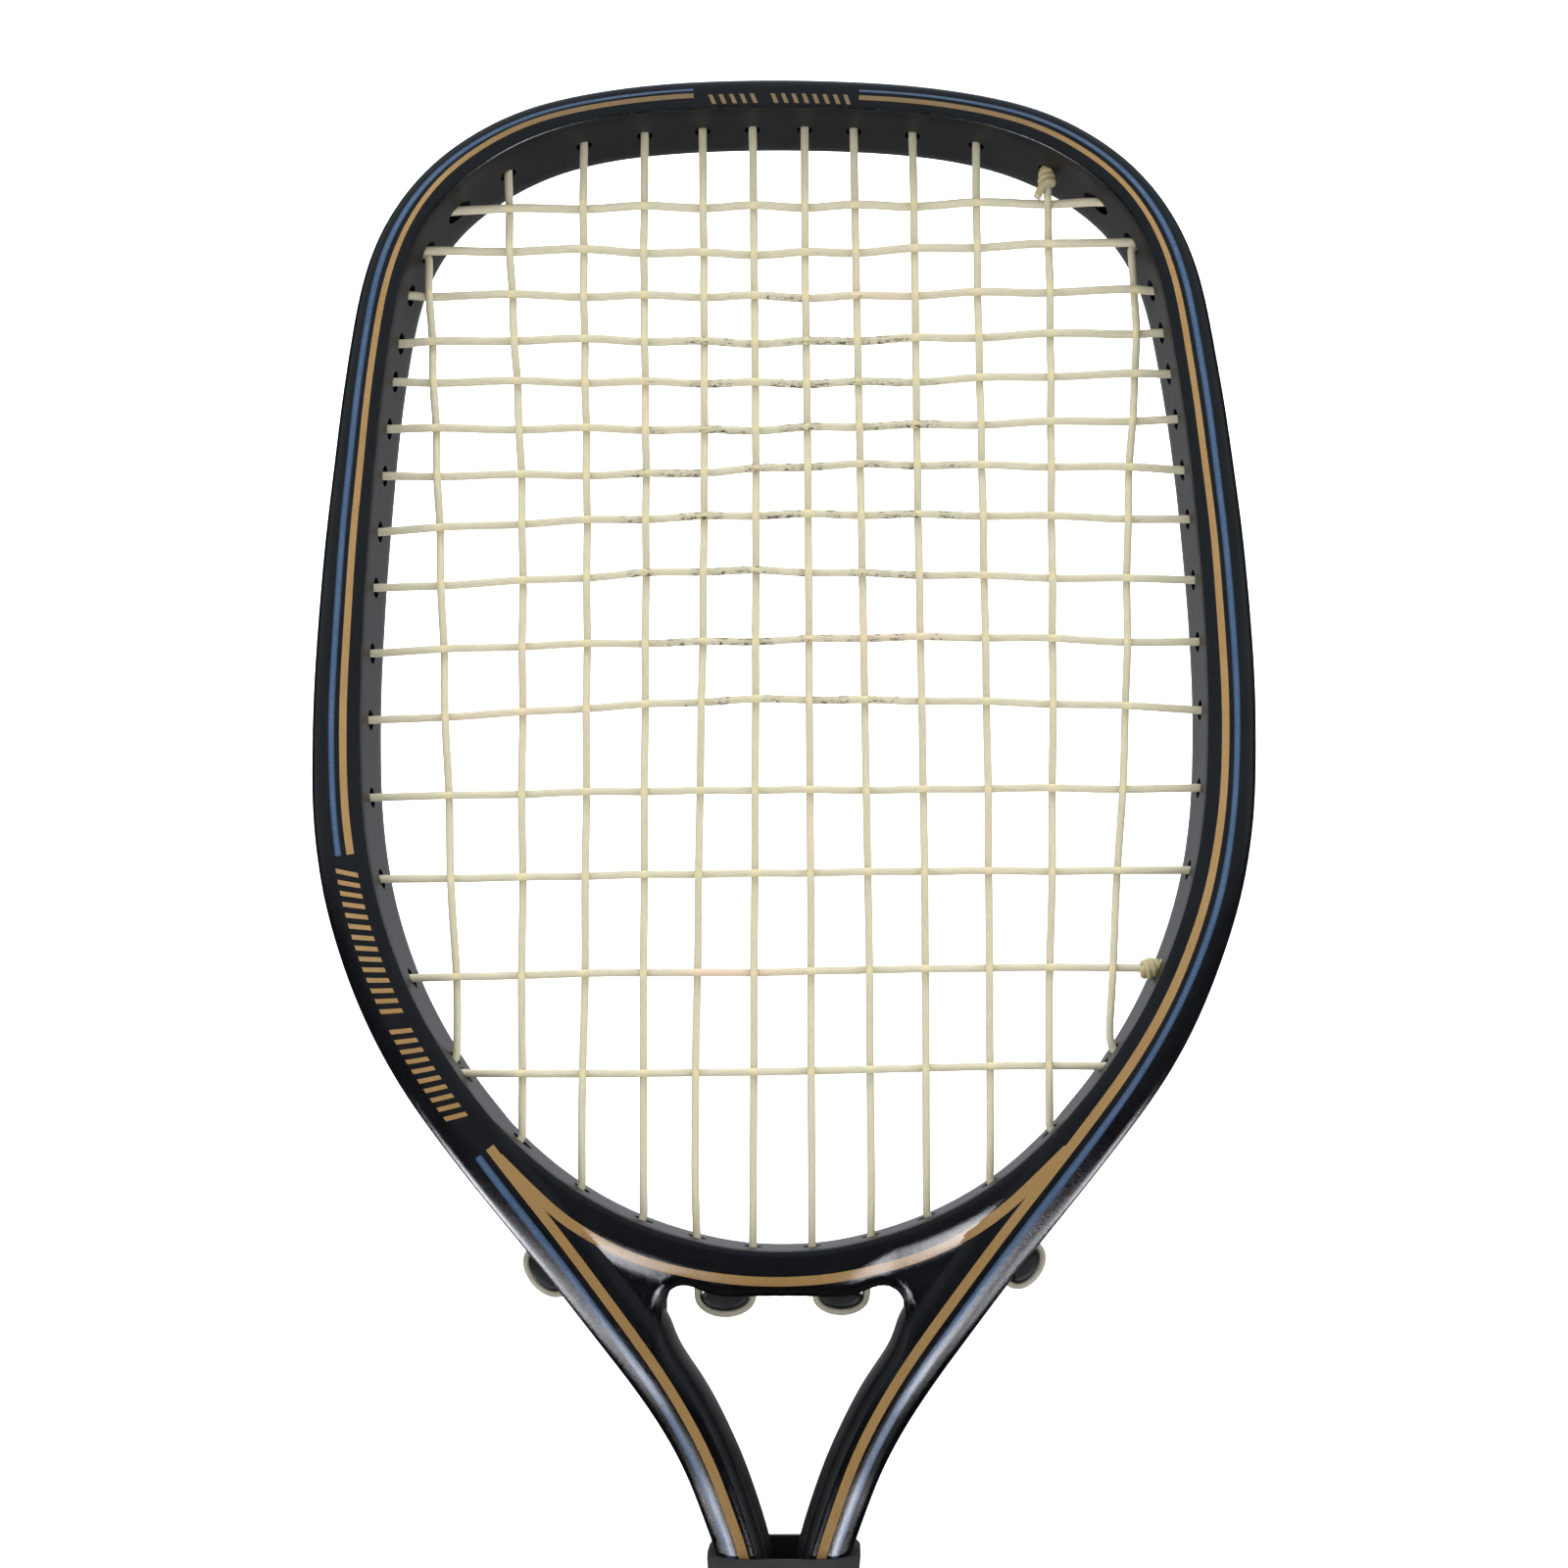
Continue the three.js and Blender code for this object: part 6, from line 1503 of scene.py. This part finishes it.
# ------------------------------------------------------------------ floor, backdrop, light, camera
def studio_white():
    """Plain white sweep. To glossy rays alone it glows, as painted reflections for the racket: a bright patch in front
    and a soft panel behind, fading to the sides.
    """
    m = Mat("studio_floor")
    m.set(Base__Color=m.mix(m.noise(9, 2, 0.5), (0.93, 0.93, 0.93), (0.915, 0.915, 0.915)), Roughness=0.7, Specular__IOR__Level=0.2)
    sp = m.node("ShaderNodeSeparateXYZ")
    m.link(m.pos(), sp.inputs[0])
    ax = m.math("ABSOLUTE", sp.outputs["X"])
    # painted reflection: a soft panel glowing up the back of the sweep, faint on the floor before it, fading to the
    # sides
    wall = m.math("MULTIPLY", m.map(ax, 0.35, 1.0, 1, 0, True), m.math("MAXIMUM", m.map(sp.outputs["Z"], 0.04, 0.22, 0, 1, True), m.math("MULTIPLY", m.map(sp.outputs["Y"], 0.15, 0.5, 0, 1, True), 0.06)))

    def patch(x, y, x0, x1, y0, y1, e=0.04):
        a = m.math("MULTIPLY", m.map(x, x0, x0 + e, 0, 1, True), m.map(x, x1 - e, x1, 1, 0, True))
        b = m.math("MULTIPLY", m.map(y, y0, y0 + e, 0, 1, True), m.map(y, y1 - e, y1, 1, 0, True))
        return m.math("MULTIPLY", a, b)

    X, Y = sp.outputs["X"], sp.outputs["Y"]
    # the course on the floor of the glowing band that paints the shafts' streak highlight: it runs out to the sides and
    # back
    course = m.math("MINIMUM", m.math("SUBTRACT", m.math("MULTIPLY", ax, 4.0), 1.22), 0.2)
    # painted highlights: hot_a is the glowing band the shafts' streak reflects, hot_b two patches in front that the
    # yoke's band reflects
    hot_a = patch(ax, m.math("SUBTRACT", Y, course), 0.2, 0.47, -0.15, 0.15, 0.03)
    hot_b = m.math("ADD", patch(X, Y, 0.09, 0.255, -0.54, -0.2, 0.022), patch(X, Y, -0.235, -0.118, -0.54, -0.2, 0.022))
    cloud = m.map(m.noise(40, 3, 0.65), 0.42, 0.56, 0.2, 1.15, True)
    half = m.math("MULTIPLY", m.map(X, -0.05, 0.05, 11.0, 8.0), m.map(ax, 0.28, 0.33, 1.35, 0.8))
    # the sweep gives off this glow only to glossy rays: painted highlights and reflections on the racket, not a lamp
    hot = m.math("ADD", m.math("MULTIPLY", m.math("MULTIPLY", hot_a, cloud), half), m.math("MULTIPLY", hot_b, 15.0))
    hot = m.math("MULTIPLY", hot, m.map(sp.outputs["Z"], 0.02, 0.05, 1, 0))
    glow = m.math("ADD", m.math("ADD", m.math("MULTIPLY", wall, 0.85), hot), 0.003)
    em = m.node("ShaderNodeEmission", Color=(0.93, 0.94, 1.0, 1.0))
    m.link(glow, em.inputs["Strength"])
    lp = m.node("ShaderNodeLightPath")
    mix = m.node("ShaderNodeMixShader")
    m.link(lp.outputs["Is Glossy Ray"], mix.inputs[0])
    m.link(m.b.outputs[0], mix.inputs[1])
    m.link(em.outputs[0], mix.inputs[2])
    lift = m.node("ShaderNodeEmission", Color=(1.0, 1.0, 1.0, 1.0))
    far = m.math("SQRT", m.math("ADD", m.math("MULTIPLY", X, X), m.math("MULTIPLY", Y, Y)))
    m.link(m.math("MULTIPLY", lp.outputs["Is Camera Ray"], m.map(far, 0.8, 1.7, 0.15, 0.9)), lift.inputs["Strength"])
    both = m.node("ShaderNodeAddShader")
    m.link(mix.outputs[0], both.inputs[0])
    m.link(lift.outputs[0], both.inputs[1])
    m.link(both.outputs[0], m.t.nodes["Material Output"].inputs["Surface"])
    return m.m


FLOOR = studio_white()
prof = [(-3.0, 0.0), (0.9, 0.0)]
for k in range(1, 13):
    a = math.pi / 2 * k / 12
    prof.append((0.9 + 0.9 * math.sin(a), 0.9 - 0.9 * math.cos(a)))
prof.append((1.8, 3.5))
me = bpy.data.meshes.new("studio_sweep")
vv, ff = [], []
for y, z in prof:
    vv += [(-5, y, z - 0.0002), (5, y, z - 0.0002)]
for k in range(len(prof) - 1):
    ff.append((2 * k, 2 * k + 1, 2 * k + 3, 2 * k + 2))
me.from_pydata(vv, [], ff)
me.materials.append(FLOOR)
me.shade_smooth()
sweep = bpy.data.objects.new("studio_sweep", me)
bpy.context.scene.collection.objects.link(sweep)


def area(name, loc, target, size, size_y, power, color=(1, 1, 1)):
    L = bpy.data.lights.new(name, "AREA")
    L.shape = "RECTANGLE"
    L.size, L.size_y, L.energy, L.color = size, size_y, power, color
    ob = bpy.data.objects.new(name, L)
    ob.location = loc
    ob.rotation_mode = "QUATERNION"
    ob.rotation_quaternion = (Vector(loc) - Vector(target)).to_track_quat("Z", "Y")
    bpy.context.scene.collection.objects.link(ob)
    ob.visible_glossy = False
    return ob


area("key_top", (0.1, -0.55, 1.75), (0, 0, 0.3), 1.5, 0.9, 26)
area("fill_left", (-1.5, -0.9, 0.7), (0, 0, 0.3), 0.7, 1.3, 9)
area("fill_right", (1.5, -0.8, 0.8), (0, 0, 0.3), 0.7, 1.3, 9)
area("wall_wash", (0, 0.5, 1.7), (0, 1.6, 0.5), 3.0, 0.6, 24)

world = bpy.data.worlds.new("studio_world")
world.use_nodes = True
wt_ = world.node_tree
bg = wt_.nodes["Background"]
bg.inputs["Color"].default_value = (1, 1, 1, 1)
tc = wt_.nodes.new("ShaderNodeTexCoord")
sp = wt_.nodes.new("ShaderNodeSeparateXYZ")
wt_.links.new(tc.outputs["Generated"], sp.inputs[0])
dim = wt_.nodes.new("ShaderNodeMapRange")
wt_.links.new(sp.outputs["Z"], dim.inputs["Value"])
dim.inputs["From Min"].default_value, dim.inputs["From Max"].default_value = -0.12, 0.02
dim.inputs["To Min"].default_value, dim.inputs["To Max"].default_value = 0.0, 0.30
lp = wt_.nodes.new("ShaderNodeLightPath")
pick = wt_.nodes.new("ShaderNodeMix")
wt_.links.new(lp.outputs["Is Glossy Ray"], pick.inputs[0])
pick.inputs[2].default_value = 0.85
wt_.links.new(dim.outputs["Result"], pick.inputs[3])
seen = wt_.nodes.new("ShaderNodeMix")
wt_.links.new(lp.outputs["Is Camera Ray"], seen.inputs[0])
wt_.links.new(pick.outputs[0], seen.inputs[2])
seen.inputs[3].default_value = 1.02
wt_.links.new(seen.outputs[0], bg.inputs["Strength"])
tint = wt_.nodes.new("ShaderNodeMix")
tint.data_type = "RGBA"
wt_.links.new(lp.outputs["Is Glossy Ray"], tint.inputs[0])
tint.inputs[6].default_value = (1, 1, 1, 1)
tint.inputs[7].default_value = (0.74, 0.9, 1.0, 1)
wt_.links.new(tint.outputs[2], bg.inputs["Color"])
bpy.context.scene.world = world

cam_data = bpy.data.cameras.new("camera")
cam = bpy.data.objects.new("camera", cam_data)
bpy.context.scene.collection.objects.link(cam)
bpy.context.scene.camera = cam
CAM_Y = -0.4101 + SEAT[1] * MM
cam.location = (0.01335, CAM_Y, 0.2463)
cam.rotation_mode = "QUATERNION"
cam.rotation_quaternion = Vector((0, -1, 0)).to_track_quat("Z", "Y")
cam_data.sensor_width = 36
cam_data.lens = 41.175
cam_data.clip_start, cam_data.clip_end = 0.01, 50


COPIES = 30  # keyframes nearer than 0.01 merge, so the driver adds the coordinate up this many times


def shift_at_home(prop, value):
    """The lens shift belongs to the camera's own place; any other view is unshifted."""
    fc = cam_data.driver_add(prop)
    d = fc.driver
    d.type = "SUM"
    for _ in range(COPIES):
        v = d.variables.new()
        v.type = "TRANSFORMS"
        v.targets[0].id = cam
        v.targets[0].transform_type = "LOC_Y"
        v.targets[0].transform_space = "WORLD_SPACE"
    for mod in list(fc.modifiers):
        fc.modifiers.remove(mod)
    while len(fc.keyframe_points):
        fc.keyframe_points.remove(fc.keyframe_points[0])
    for x, y in ((-0.0016, 0.0), (-0.0008, value), (0.0008, value), (0.0016, 0.0)):
        kp = fc.keyframe_points.insert(COPIES * (CAM_Y + x), y)
        kp.interpolation = "LINEAR"
    fc.extrapolation = "CONSTANT"


shift_at_home("shift_x", -0.0375)
shift_at_home("shift_y", 0.18125)

bpy.context.scene.view_settings.view_transform = "Standard"
bpy.context.scene.view_settings.look = "None"
